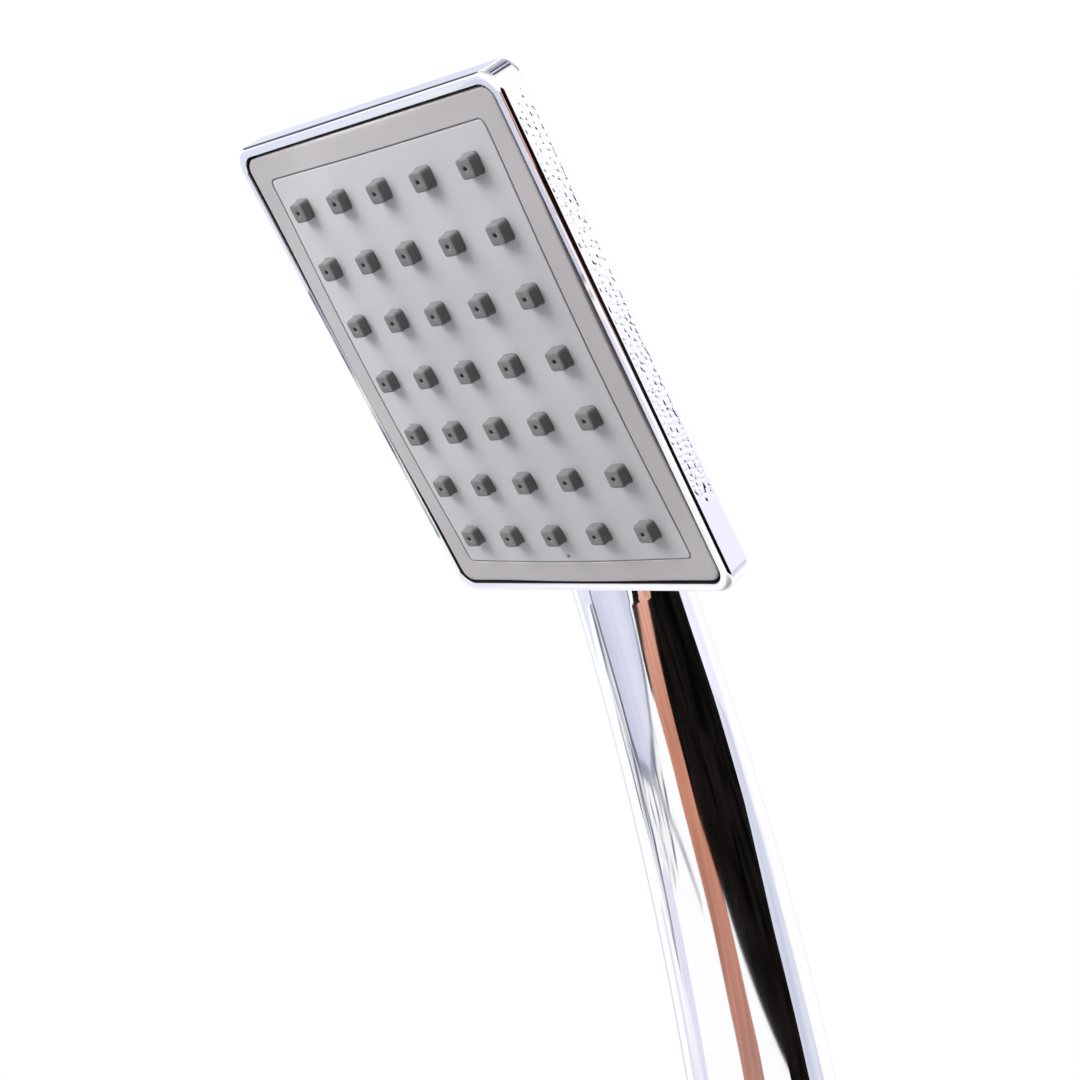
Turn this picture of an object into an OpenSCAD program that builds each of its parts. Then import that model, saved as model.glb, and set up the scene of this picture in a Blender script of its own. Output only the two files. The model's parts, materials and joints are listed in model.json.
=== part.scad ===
// Rectangular hand shower: chrome head and handle, domed spray face, water path and sprung check valve.
// The handle's lower end stands along +Z on the origin, and the spray face looks towards -Y.

/* [Head] */
// Width of the head
head_w = 74.9; // [70:1:100]
// Height of the head
head_h = 97.5; // [92:1:130]
// Depth of the head's straight side wall
side_depth = 6; // [5:0.5:9]
// Radius of the head's corners
corner_r = 4; // [2:0.5:8]
// Wall of the housing around the spray plate
rim_wall = 1.85; // [1.5:0.05:3]
// Depth of the head from its front rim to its flat back
head_depth = 11.2; // [11.2:0.1:16]
// How far the back's edges slope in
hip_inset = 7.6; // [5:0.2:9]
// Tilt of the head from the handle's lower end
head_tilt = 19.5; // [15:0.5:25]

/* [Spray plate] */
// Columns of nozzles
nozzle_cols = 5; // [3:1:5]
// Rows of nozzles
nozzle_rows = 7; // [3:1:7]
// Distance between columns
col_pitch = 12; // [9:0.1:12]
// Distance between rows
row_pitch = 11.7; // [9:0.1:12]
// Width of a nozzle
nozzle_w = 3.7; // [3:0.1:4.2]
// Height of a nozzle above the plate
nozzle_h = 2; // [1:0.1:3]
// Width of a nozzle's jet hole
jet_d = 0.6; // [0.4:0.1:1]
// Height of the plate's crown above the front rim
crown_h = 1.6; // [1.6:0.1:3]
// Radius of the plate's curve from side to side
crown_rx = 458; // [400:1:900]
// Radius of the plate's curve from top to bottom
crown_ry = 719; // [600:1:1200]
// Gap between the plate and the rim
plate_gap = 0.5; // [0.3:0.05:0.8]
// Distance from the plate's edge to its incised line
panel_inset = 4.7; // [3:0.1:6]
// Width of the incised line
line_w = 0.3; // [0.2:0.05:0.5]

/* [Handle] */
// Wall of the handle
handle_wall = 1.8; // [1.5:0.1:2.4]
// Bend between the handle's lower end and its neck
handle_bend = 9.5; // [6:0.5:12]
// Radius of the handle's curve
bend_r = 700; // [600:10:900]
// Height of the straight lower end, inlet included
straight_len = 46; // [46:1:80]
// Half width of the neck
neck_a = 13.4; // [13:0.1:16]
// Half depth of the neck
neck_b = 9; // [9:0.1:11]
// Half width where the handle is fullest
belly_a = 15.2; // [14:0.1:18]
// Half depth where the handle is fullest
belly_b = 14.2; // [13.5:0.1:17]
// Distance from the neck down to the fullest place
belly_drop = 101; // [80:1:105]
// Radius of the handle's lower end
handle_end_r = 12.6; // [12.4:0.1:13.5]

/* [Water path] */
// Outer diameter of the inlet thread, G 1/2
inlet_thread_d = 20.955; // [20.955]
// Length of the inlet thread
inlet_thread_len = 11; // [9:0.5:14]
// Bore for the inlet cartridges
cartridge_d = 15; // [14.5:0.1:15.2]
// Outer diameter of the water tube
tube_d = 8; // [7:0.1:8.4]
// Wall of the water tube
tube_wall = 1; // [0.8:0.1:1.2]
// Section of the tube's sealing rings
tube_oring_t = 1; // [0.8:0.05:1.1]
// Thickness of the nozzle mat
mat_t = 1.6; // [1.2:0.1:1.6]
// Thickness of the jet plate
jet_plate_t = 1.8; // [1.4:0.1:1.8]
// Thickness of the chamber's gasket
gasket_t = 0.6; // [0.4:0.1:0.6]
// Wall of the chamber's cover
cover_wall = 1.4; // [1:0.1:1.6]

/* [Check valve] */
// Travel of the poppet
poppet_travel = 2.5; // [1.5:0.1:3]
// Water gap around the poppet's disc
poppet_gap = 1.1; // [0.8:0.1:1.6]
// Radius of the poppet's stem
stem_r = 1.5; // [1.2:0.1:2]
// Play of the stem in its guide
stem_play = 0.05; // [0.03:0.01:0.1]
// Wire diameter of the spring
spring_wire = 0.5; // [0.4:0.05:0.6]
// Turns of the spring
spring_turns = 5; // [4:1:6]

/* [Hidden] */
$fn = 64;
hull_fn = 32;
eps = 0.01;
play = 0.1;

// Heights in the head, measured out from the plane of the front rim
plate_rest = -0.3;
rim_chamfer = 0.9;
ledge_z = -3.2;
ledge_t = 1.6;
clip_room = 1.4;
mat_back = ledge_z;
jet_back = mat_back - jet_plate_t;
cover_rim_z = jet_back - gasket_t;
back_wall = 1.8;
cover_gap = 0.2;
cover_back = back_wall + cover_gap - head_depth;
chamber_floor = cover_back + cover_wall;

// Outlines in the head
recess_w = head_w - 2 * rim_wall;
recess_h = head_h - 2 * rim_wall;
recess_r = max(corner_r - rim_wall + 1, 1);
plate_w = recess_w - 2 * plate_gap;
plate_h = recess_h - 2 * plate_gap;
panel_w = plate_w - 2 * panel_inset;
panel_h = plate_h - 2 * panel_inset;
panel_r = 1.2;
crown_step = 5;
ledge_in = 2;
field_w = (nozzle_cols - 1) * col_pitch;
field_h = (nozzle_rows - 1) * row_pitch;
mat_border = [4.8, 4.7];
mat_w = field_w + 2 * mat_border[0];
mat_h = field_h + 2 * mat_border[1];
mat_room = 0.2;
chamber_border = [4.5, 5.4];
chamber_w = field_w + 2 * chamber_border[0];
chamber_h = field_h + 2 * chamber_border[1];
chamber_wall = 2.2;
chamber_r = 3;
nozzle_r = 0.7;
nozzle_bore_r = 1.2;
jet_skin = 1;
plate_hole_gap = 0.1;
nozzle_xs = [for (i = [0:nozzle_cols - 1]) (i - (nozzle_cols - 1) / 2) * col_pitch];
nozzle_ys = [for (j = [0:nozzle_rows - 1]) (j - (nozzle_rows - 1) / 2) * row_pitch];

// Fasteners and clips
pillar_x = 1.5 * col_pitch;
pillar_ys = [for (k = [-2.5, -0.5, 0.5, 2.5]) k * row_pitch];
pillar_r = 2.3;
chamber_screw_r = 1;
chamber_screw_len = 5.2;
screw_head_r = 1.9;
screw_head_t = 0.9;
ear_y = chamber_h / 2 + 2.1;
ear_r = 2.2;
mount_screw_r = 1;
mount_screw_len = 5;
mount_boss_r = 1.9;
clip_ys = [-0.6 * head_h / 2, 0, 0.6 * head_h / 2];
clip_w = 6;
clip_side = 0.2;
clip_t = 1;
clip_x = recess_w / 2 - ledge_in - cover_gap - clip_t;

// Path of the handle's centre line, by distance s from the inlet's end
deg = 180 / PI;
neck_s = straight_len + bend_r * handle_bend / deg;
ridge_r = 220;
ridge_len = 75;
neck_at = [-bend_r * (1 - cos(handle_bend)), straight_len + bend_r * sin(handle_bend)];
neck_gap = 5.25;
neck_y = -head_h / 2 - neck_gap;
neck_z = -neck_b - 0.5;
head_at = [neck_at[0] + neck_y * sin(head_tilt) + neck_z * cos(head_tilt),
           neck_at[1] - neck_y * cos(head_tilt) + neck_z * sin(head_tilt)];
collar_t = 1.2;
handle_start = inlet_thread_len + collar_t;
belly_s = neck_s - belly_drop;
ring_step = 6;

// Inlet connector and what sits in it
connector_r = 10.5;
connector_top = 38;
washer_seat = 2.4;
washer_t = 2;
mesh_t = 0.4;
washer_r = cartridge_d / 2 + 0.6;
washer_wall = 2.6;
regulator_z = washer_seat + 0.2;
regulator_h = 5;
valve_z = regulator_z + regulator_h + 0.2;
valve_h = 14;
seat_t = 3;
seat_z = valve_z + seat_t;
seal_t = 1;
disc_z = seat_z + seal_t;
disc_t = 1.2;
cage_t = 2;
cage_wall = 1;
guide_wall = 1.2;
arm_w = 1.2;
cage_z = valve_z + valve_h - cage_t - 0.2;
shoulder_z = valve_z + valve_h + 0.2;
shoulder_r = cartridge_d / 2 - 2;
socket_z = shoulder_z + 4;
valve_r = cartridge_d / 2 - play;
valve_chamber_r = cartridge_d / 2 - 1.2;
poppet_r = valve_chamber_r - poppet_gap;
seat_lap = 1;
seat_r = poppet_r - seat_lap;
plug_t = 0.6;
plug_gap = 1.2;
plug_r = seat_r - plug_gap;
boss_r = stem_r + 0.5;
stop_gap = 0.1;
ring_t = 1.2;
ring_z = valve_z + seat_t / 2;
connector_ring_z = 30;
connector_ring_t = 1.3;
spring_r = (stem_r + poppet_r) / 2 - 0.15;
regulator_rim = 1.8;
regulator_channel = 3.2;
regulator_ring_t = 2;
regulator_base_t = 1.2;
hub_r = valve_r - regulator_rim - regulator_channel;
mesh_r = cartridge_d / 2 - 1.3;

// Water tube: straight, then bent up into the chamber's socket
socket_tilt = 5.5;
tube_lean = head_tilt - socket_tilt;
socket_out = 0.8;
tube_top = [neck_at[0] - socket_out * cos(head_tilt), neck_at[1] - socket_out * sin(head_tilt)];
tube_bend_r = -tube_top[0] / (1 - cos(tube_lean));
tube_bend_z = tube_top[1] - tube_bend_r * sin(tube_lean);
tube_r = tube_d / 2;
tube_play = 0.1;
tube_start = socket_z + 1;
lower_ring_z = socket_z + 7;
upper_ring_z = 2;
socket_from = -4;
socket_depth = 6.5;
socket_wall = 1.7;
passage_r = tube_r - 1.2;
port_y = -field_h / 2 - 0.5;
port_z = neck_z + socket_out - (port_y - neck_y) * tan(socket_tilt);
socket_to = (port_y - neck_y) / cos(socket_tilt) + passage_r + 1;

// Puts its children in the head's own frame: X across, Y up the face, Z out of the front rim
module in_head() {
    translate([0, head_at[0], head_at[1]]) rotate([90 + head_tilt, 0, 0]) children();
}

// Puts its children on the chamber's socket: Z runs up the water tube
module in_socket() {
    translate([0, tube_top[0], tube_top[1]]) rotate([tube_lean, 0, 0]) children();
}

module rounded_rect(w, h, r) {
    square([w - 2 * r, h], center = true);
    square([w, h - 2 * r], center = true);
    for (x = [-1, 1], y = [-1, 1])
        translate([x * (w / 2 - r), y * (h / 2 - r)]) circle(r);
}

module slab(w, h, r, z0, z1) {
    translate([0, 0, z0]) linear_extrude(z1 - z0) rounded_rect(w, h, r);
}

module ring(r, t) {
    rotate_extrude() translate([r, 0]) circle(d = t, $fn = 24);
}

module tube_section(r, wall) {
    difference() {
        circle(r);
        circle(r - wall);
    }
}

module at_nozzles() {
    for (x = nozzle_xs, y = nozzle_ys) translate([x, y, 0]) children();
}

// Height of the crowned plate over the rim's plane, level where the crown runs out near the corners
function crown_z(x, y) = max(crown_h - x * x / (2 * crown_rx) - y * y / (2 * crown_ry), plate_rest);

// Centre line of the handle in the YZ plane, and how far it leans from +Z
function lean(s) = s < straight_len ? 0
    : s < neck_s ? (s - straight_len) / bend_r * deg
    : handle_bend + (s - neck_s) / ridge_r * deg;
function centre(s) = s < straight_len ? [0, s]
    : s < neck_s ? [-bend_r * (1 - cos(lean(s))), straight_len + bend_r * sin(lean(s))]
    : [neck_at[0] - ridge_r * (cos(handle_bend) - cos(lean(s))),
       neck_at[1] + ridge_r * (sin(lean(s)) - sin(handle_bend))];

// Half axis of the handle: straight growth from the neck to the belly, then a curve in to the end
function grow(s, neck, belly) = let (k = (belly - neck) / belly_drop, d = belly_s - s,
    c = (belly + k * (belly_s - handle_start) - handle_end_r) / pow(belly_s - handle_start, 2))
    s > neck_s ? neck
    : s > belly_s ? neck + k * (neck_s - s)
    : belly + k * d - c * d * d;
tip_r = 0.3;
function fade(s) = s > neck_s ? 1 - pow(min((s - neck_s) / ridge_len, 1), 1.5) : 1;

function oval(s, wall, n) = let (l = lean(s), c = centre(s),
    a = max(grow(s, neck_a, belly_a) * sqrt(fade(s)) - wall, 2 * tip_r),
    b = max(grow(s, neck_b, belly_b) * fade(s) - wall, tip_r))
    [for (i = [0:n - 1]) let (t = 360 * i / n)
        [a * cos(t), c[0] + b * sin(t) * cos(l), c[1] + b * sin(t) * sin(l)]];

// Closed skin over a list of rings with the same number of points
module skin(rings) {
    n = len(rings[0]);
    last = len(rings) - 1;
    polyhedron(
        points = [for (r = rings, p = r) p],
        faces = concat(
            [[for (i = [0:n - 1]) i]],
            [for (k = [0:last - 1], i = [0:n - 1]) let (j = (i + 1) % n)
                [k * n + i, (k + 1) * n + i, (k + 1) * n + j]],
            [for (k = [0:last - 1], i = [0:n - 1]) let (j = (i + 1) % n)
                [k * n + i, (k + 1) * n + j, k * n + j]],
            [[for (i = [n - 1:-1:0]) last * n + i]]));
}

module handle_sweep(from, to, wall, n) {
    steps = ceil((to - from) / ring_step);
    skin([for (k = [0:steps]) oval(from + (to - from) * k / steps, wall, n)]);
}

module body_shell() {
    color([0.86, 0.87, 0.9]) difference() {
        union() {
            in_head() hull($fn = hull_fn) {
                slab(head_w - 2 * rim_chamfer, head_h - 2 * rim_chamfer, corner_r - rim_chamfer, -1, 0);
                slab(head_w, head_h, corner_r, -side_depth, -rim_chamfer);
                slab(head_w - 2 * hip_inset, head_h - 2 * hip_inset, corner_r, -head_depth, -side_depth);
            }
            handle_sweep(handle_start, neck_s + ridge_len, 0, 32);
        }
        difference() {
            union() {
                in_head() housing_cavity();
                handle_sweep(connector_top - 1, neck_s + 0.6 * ridge_len, handle_wall, 24);
            }
            in_head() for (x = [-pillar_x, pillar_x], y = [-ear_y, ear_y])
                translate([x, y, -head_depth]) cylinder(r = mount_boss_r, h = head_depth + jet_back);
        }
        in_head() for (x = [-pillar_x, pillar_x], y = [-ear_y, ear_y])
            translate([x, y, ledge_z - mount_screw_len - play])
                cylinder(r = mount_screw_r, h = mount_screw_len);
        translate([0, 0, handle_start - 1])
            cylinder(r = connector_r + play, h = connector_top - handle_start + 1);
    }
}

// Recess of the spray plate, the ledge it rests on, room for its clips, and the space behind
module housing_cavity() {
    inner_w = recess_w - 2 * ledge_in;
    inner_h = recess_h - 2 * ledge_in;
    clip_z = ledge_z - ledge_t - clip_room;
    clip_room_w = recess_w - 2 * clip_side;
    clip_room_h = recess_h - 2 * clip_side;
    deep_w = head_w - 2 * hip_inset - 2 * cover_gap;
    deep_h = head_h - 2 * hip_inset - 2 * cover_gap;
    slab(recess_w, recess_h, recess_r, ledge_z, 1);
    slab(inner_w, inner_h, recess_r, ledge_z - ledge_t - eps, ledge_z + eps);
    slab(clip_room_w, clip_room_h, recess_r, clip_z, ledge_z - ledge_t);
    hull($fn = hull_fn) {
        slab(clip_room_w, clip_room_h, recess_r, clip_z, clip_z + eps);
        slab(deep_w, deep_h, recess_r, back_wall - head_depth, back_wall - head_depth + 1);
    }
}

module face_plate() {
    hole_w = nozzle_w + 2 * plate_hole_gap;
    color([0.68, 0.68, 0.69]) in_head() {
        difference() {
            intersection() {
                slab(plate_w, plate_h, recess_r - plate_gap, ledge_z, crown_h + 1);
                crown_solid(crown_h);
            }
            slab(mat_w + 2 * mat_room, mat_h + 2 * mat_room, chamber_r, ledge_z - 1, mat_back + mat_t);
            at_nozzles() linear_extrude(10, center = true)
                rounded_rect(hole_w, hole_w, nozzle_r + plate_hole_gap);
            difference() {
                slab(panel_w + line_w, panel_h + line_w, panel_r, mat_back + mat_t + 1, crown_h + 1);
                slab(panel_w - line_w, panel_h - line_w, panel_r - line_w, mat_back + mat_t, crown_h + 2);
                crown_solid(crown_h - line_w);
            }
        }
        for (side = [-1, 1], y = clip_ys) translate([0, y, 0]) snap_clip(side);
    }
}

// Everything behind the crowned surface whose highest point is at top
module crown_solid(top) {
    nx = ceil((plate_w + 2) / crown_step);
    ny = ceil((plate_h + 2) / crown_step);
    row = nx + 1;
    count = row * (ny + 1);
    grid = [for (j = [0:ny], i = [0:nx]) [(i / nx - 0.5) * (plate_w + 2), (j / ny - 0.5) * (plate_h + 2)]];
    cells = [for (j = [0:ny - 1], i = [0:nx - 1]) j * row + i];
    rim = concat([for (i = [0:nx - 1]) i], [for (j = [0:ny - 1]) j * row + nx],
                 [for (i = [nx:-1:1]) ny * row + i], [for (j = [ny:-1:1]) j * row]);
    polyhedron(
        points = concat([for (p = grid) [p[0], p[1], top - crown_h + crown_z(p[0], p[1])]],
                        [for (p = grid) [p[0], p[1], -head_depth]]),
        faces = concat(
            [for (k = cells) [k, k + row, k + 1]],
            [for (k = cells) [k + 1, k + row, k + row + 1]],
            [for (k = cells) [k + count, k + 1 + count, k + row + count]],
            [for (k = cells) [k + 1 + count, k + row + 1 + count, k + row + count]],
            [for (k = [0:len(rim) - 1]) let (m = (k + 1) % len(rim)) [rim[k], rim[m], rim[m] + count]],
            [for (k = [0:len(rim) - 1]) let (m = (k + 1) % len(rim))
                [rim[k], rim[m] + count, rim[k] + count]]));
}

module snap_clip(side) {
    tab_len = ledge_t + clip_room - cover_gap;
    hook_t = 0.8;
    hook_z = ledge_z - ledge_t - play;
    x0 = side > 0 ? clip_x : -clip_x - clip_t;
    hook_x = side > 0 ? clip_x + clip_t - eps : -clip_x - clip_t - hook_t + eps;
    translate([x0, -clip_w / 2, ledge_z - tab_len]) cube([clip_t, clip_w, tab_len + 0.5]);
    translate([hook_x, -clip_w / 2, ledge_z - tab_len]) cube([hook_t, clip_w, hook_z - ledge_z + tab_len]);
}

module nozzle_mat() {
    color([0.5, 0.5, 0.51]) in_head() difference() {
        union() {
            slab(mat_w, mat_h, chamber_r - 0.2, mat_back, mat_back + mat_t);
            for (x = nozzle_xs, y = nozzle_ys) translate([x, y, mat_back])
                linear_extrude(crown_z(x, y) + nozzle_h - mat_back)
                    rounded_rect(nozzle_w, nozzle_w, nozzle_r);
        }
        for (x = nozzle_xs, y = nozzle_ys) translate([x, y, mat_back - 1]) {
            cylinder(r = nozzle_bore_r, h = 1 + crown_z(x, y) + nozzle_h - mat_back - jet_skin);
            cylinder(d = jet_d, h = 20, $fn = 24);
        }
    }
}

module at_pillars() {
    for (x = [-pillar_x, pillar_x], y = pillar_ys) translate([x, y, 0]) children();
}

module at_ears() {
    for (x = [-pillar_x, pillar_x], y = [-ear_y, ear_y]) translate([x, y, 0]) children();
}

// Countersunk screw with its head's face at z = 0, running down
module screw(r, len, gap = 0) {
    translate([0, 0, -screw_head_t]) cylinder(r1 = r + gap, r2 = screw_head_r + gap, h = screw_head_t);
    translate([0, 0, -len]) cylinder(r = r + gap, h = len);
}

module jet_plate() {
    color([0.9, 0.9, 0.88]) in_head() difference() {
        union() {
            slab(chamber_w, chamber_h, chamber_r, jet_back, mat_back);
            at_ears() translate([0, 0, jet_back]) cylinder(r = ear_r, h = jet_plate_t);
            for (x = [-pillar_x, pillar_x], y = [-1, 1])
                translate([x - ear_r, y * (ear_y - 1) - 1, jet_back]) cube([2 * ear_r, 2, jet_plate_t]);
        }
        at_nozzles() translate([0, 0, jet_back - 1]) cylinder(r = nozzle_bore_r + 0.3, h = jet_plate_t + 2);
        at_pillars() translate([0, 0, mat_back]) screw(chamber_screw_r, 10, 0.02);
        at_ears() translate([0, 0, mat_back]) screw(mount_screw_r, 10, 0.02);
    }
}

module chamber_gasket() {
    color([0.15, 0.15, 0.16]) in_head() difference() {
        slab(chamber_w, chamber_h, chamber_r, cover_rim_z, jet_back);
        slab(chamber_w - 2 * chamber_wall, chamber_h - 2 * chamber_wall, chamber_r - 1,
             cover_rim_z - 1, jet_back + 1);
    }
}

module chamber_cover() {
    color([0.82, 0.82, 0.8]) difference() {
        union() {
            in_head() difference() {
                slab(chamber_w, chamber_h, chamber_r, cover_back, cover_rim_z);
                slab(chamber_w - 2 * chamber_wall, chamber_h - 2 * chamber_wall, chamber_r - 1,
                     chamber_floor, cover_rim_z + 1);
            }
            in_head() at_pillars() translate([0, 0, cover_back + eps])
                cylinder(r = pillar_r, h = jet_back - cover_back - eps);
            in_socket() translate([0, 0, socket_from])
                cylinder(r = tube_r + socket_wall, h = socket_to - socket_from);
        }
        in_head() translate([-10, -chamber_h / 2 - 0.5, cover_rim_z]) cube([20, 20, 6]);
        in_head() at_pillars() translate([0, 0, mat_back]) screw(chamber_screw_r, chamber_screw_len + play);
        in_socket() {
            translate([0, 0, socket_from - 1])
                cylinder(r = tube_r + tube_play, h = socket_depth + 1 - socket_from);
            translate([0, 0, socket_from]) cylinder(r = passage_r, h = socket_to - 1 - socket_from);
            translate([0, 0, upper_ring_z - tube_oring_t / 2])
                cylinder(r = tube_r + tube_oring_t, h = tube_oring_t);
        }
        in_head() translate([0, port_y, port_z])
            cylinder(r = passage_r - 0.2, h = chamber_floor - port_z + eps);
    }
}

module chamber_screws() {
    color([0.6, 0.6, 0.62]) in_head() at_pillars()
        translate([0, 0, mat_back]) driven_screw(chamber_screw_r, chamber_screw_len);
}

module mounting_screws() {
    color([0.6, 0.6, 0.62]) in_head() at_ears()
        translate([0, 0, mat_back]) driven_screw(mount_screw_r, mount_screw_len);
}

// Countersunk screw with a crossed drive
module driven_screw(r, len) {
    difference() {
        screw(r, len);
        for (a = [0, 90]) rotate(a) cube([2, 0.5, 1], center = true);
    }
}

module water_tube() {
    insert = (socket_depth - 0.5) / tube_bend_r * deg;
    color([0.92, 0.92, 0.9]) {
        translate([0, 0, tube_start])
            linear_extrude(tube_bend_z - tube_start) tube_section(tube_r, tube_wall);
        translate([0, -tube_bend_r, tube_bend_z]) rotate([90, 0, 90])
            rotate_extrude(angle = tube_lean + insert, $fn = 720) translate([tube_bend_r, 0])
                tube_section(tube_r, tube_wall, $fn = 48);
    }
}

module tube_oring_upper() {
    color([0.1, 0.1, 0.1]) in_socket()
        translate([0, 0, upper_ring_z]) ring(tube_r + tube_oring_t / 2, tube_oring_t);
}

module tube_oring_lower() {
    color([0.1, 0.1, 0.1]) translate([0, 0, lower_ring_z]) ring(tube_r + tube_oring_t / 2, tube_oring_t);
}

module inlet_connector() {
    ring_r = connector_r + play - connector_ring_t;
    color([0.84, 0.83, 0.78]) difference() {
        union() {
            cylinder(d = inlet_thread_d, h = inlet_thread_len + 1);
            translate([0, 0, inlet_thread_len]) cylinder(r = handle_end_r - 0.6, h = collar_t);
            translate([0, 0, inlet_thread_len])
                cylinder(r = connector_r, h = connector_top - inlet_thread_len);
        }
        translate([0, 0, -1]) cylinder(r = washer_r + play, h = washer_seat + 1);
        translate([0, 0, -1]) cylinder(d = cartridge_d, h = shoulder_z + 1);
        translate([0, 0, shoulder_z - 1]) cylinder(r = shoulder_r, h = socket_z - shoulder_z - 1);
        translate([0, 0, shoulder_z]) cylinder(r = tube_r - tube_wall, h = 20);
        translate([0, 0, socket_z]) cylinder(r = tube_r + tube_play, h = 20);
        translate([0, 0, lower_ring_z - tube_oring_t / 2])
            cylinder(r = tube_r + tube_oring_t, h = tube_oring_t);
        translate([0, 0, connector_ring_z - connector_ring_t / 2]) difference() {
            cylinder(r = connector_r + 1, h = connector_ring_t);
            cylinder(r = ring_r, h = connector_ring_t);
        }
    }
}

module connector_oring() {
    color([0.1, 0.1, 0.1]) translate([0, 0, connector_ring_z])
        ring(connector_r + play - connector_ring_t / 2, connector_ring_t);
}

module check_valve_body() {
    color([0.2, 0.35, 0.6]) translate([0, 0, valve_z]) difference() {
        cylinder(r = valve_r, h = valve_h);
        translate([0, 0, -1]) cylinder(r = seat_r, h = valve_h);
        translate([0, 0, seat_t]) cylinder(r = valve_chamber_r, h = valve_h);
        translate([0, 0, ring_z - valve_z - ring_t / 2]) difference() {
            cylinder(r = valve_r + 1, h = ring_t);
            cylinder(r = cartridge_d / 2 - ring_t, h = ring_t);
        }
    }
}

module check_valve_oring() {
    color([0.1, 0.1, 0.1]) translate([0, 0, ring_z]) ring(cartridge_d / 2 - ring_t / 2, ring_t);
}

module check_valve_cage() {
    guide_r = stem_r + guide_wall;
    color([0.85, 0.85, 0.83]) translate([0, 0, cage_z]) difference() {
        union() {
            linear_extrude(cage_t) tube_section(valve_chamber_r, cage_wall);
            cylinder(r = guide_r, h = cage_t);
            for (a = [0, 120, 240]) rotate(a)
                translate([0, -arm_w / 2, 0]) cube([valve_chamber_r - cage_wall / 2, arm_w, cage_t]);
        }
        translate([0, 0, -1]) cylinder(r = stem_r + stem_play, h = cage_t + 2);
    }
}

module check_valve_poppet() {
    color([0.9, 0.88, 0.8]) {
        translate([0, 0, disc_z]) cylinder(r = poppet_r, h = disc_t);
        translate([0, 0, seat_z - plug_t]) cylinder(r = plug_r, h = seal_t + plug_t + eps);
        translate([0, 0, disc_z]) cylinder(r = boss_r, h = cage_z - poppet_travel - stop_gap - disc_z);
        translate([0, 0, disc_z]) cylinder(r = stem_r, h = cage_z + cage_t - disc_z);
    }
}

module check_valve_seal() {
    color([0.12, 0.12, 0.12]) translate([0, 0, seat_z]) linear_extrude(seal_t)
        tube_section(poppet_r, poppet_r - plug_r);
}

// Points of one cross-section of the spring's wire, at a share u of its height
function coil_ring(u, z0, z1) = let (turn = 360 * spring_turns * u, r = spring_wire / 2)
    [for (i = [0:7]) let (t = 360 * i / 8)
        [(spring_r + r * cos(t)) * cos(turn), (spring_r + r * cos(t)) * sin(turn),
         z0 + (z1 - z0) * u - r * sin(t)]];

module check_valve_spring() {
    z0 = disc_z + disc_t + spring_wire / 2;
    z1 = cage_z - spring_wire / 2;
    steps = 16 * spring_turns;
    color([0.7, 0.7, 0.72]) skin([for (k = [0:steps]) coil_ring(k / steps, z0, z1)]);
}

module flow_regulator_body() {
    hole_r = 0.9;
    color([0.75, 0.2, 0.2]) translate([0, 0, regulator_z]) difference() {
        union() {
            linear_extrude(regulator_h) tube_section(valve_r, regulator_rim);
            cylinder(r = valve_r - regulator_rim / 2, h = regulator_base_t);
            cylinder(r = hub_r, h = regulator_h - 0.6);
        }
        for (a = [0:60:300]) rotate(a) translate([hub_r + regulator_channel / 2, 0, -1])
            cylinder(r = hole_r, h = regulator_base_t + 2, $fn = 24);
    }
}

module flow_regulator_oring() {
    color([0.15, 0.15, 0.15]) translate([0, 0, regulator_z + regulator_base_t + regulator_ring_t / 2])
        ring(hub_r + play + regulator_ring_t / 2, regulator_ring_t);
}

module filter_washer() {
    color([0.12, 0.12, 0.13]) translate([0, 0, washer_seat - washer_t]) difference() {
        linear_extrude(washer_t) tube_section(washer_r, washer_wall);
        translate([0, 0, washer_t - mesh_t]) cylinder(r = mesh_r, h = mesh_t + 1);
    }
}

module filter_mesh() {
    pitch = 1.2;
    hole = 0.85;
    color([0.62, 0.62, 0.64]) translate([0, 0, washer_seat - mesh_t]) linear_extrude(mesh_t) difference() {
        circle(mesh_r);
        for (x = [-4:4], y = [-4:4]) if (norm([x, y]) * pitch < mesh_r - 1.2)
            translate([x * pitch, y * pitch]) square(hole, center = true);
    }
}

body_shell();
face_plate();
nozzle_mat();
jet_plate();
chamber_gasket();
chamber_cover();
chamber_screws();
mounting_screws();
water_tube();
tube_oring_upper();
tube_oring_lower();
inlet_connector();
connector_oring();
check_valve_body();
check_valve_cage();
check_valve_poppet();
check_valve_seal();
check_valve_spring();
check_valve_oring();
flow_regulator_body();
flow_regulator_oring();
filter_washer();
filter_mesh();
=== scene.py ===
import json
import math

import bpy
import numpy as np
from mathutils import Matrix, Vector


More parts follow.
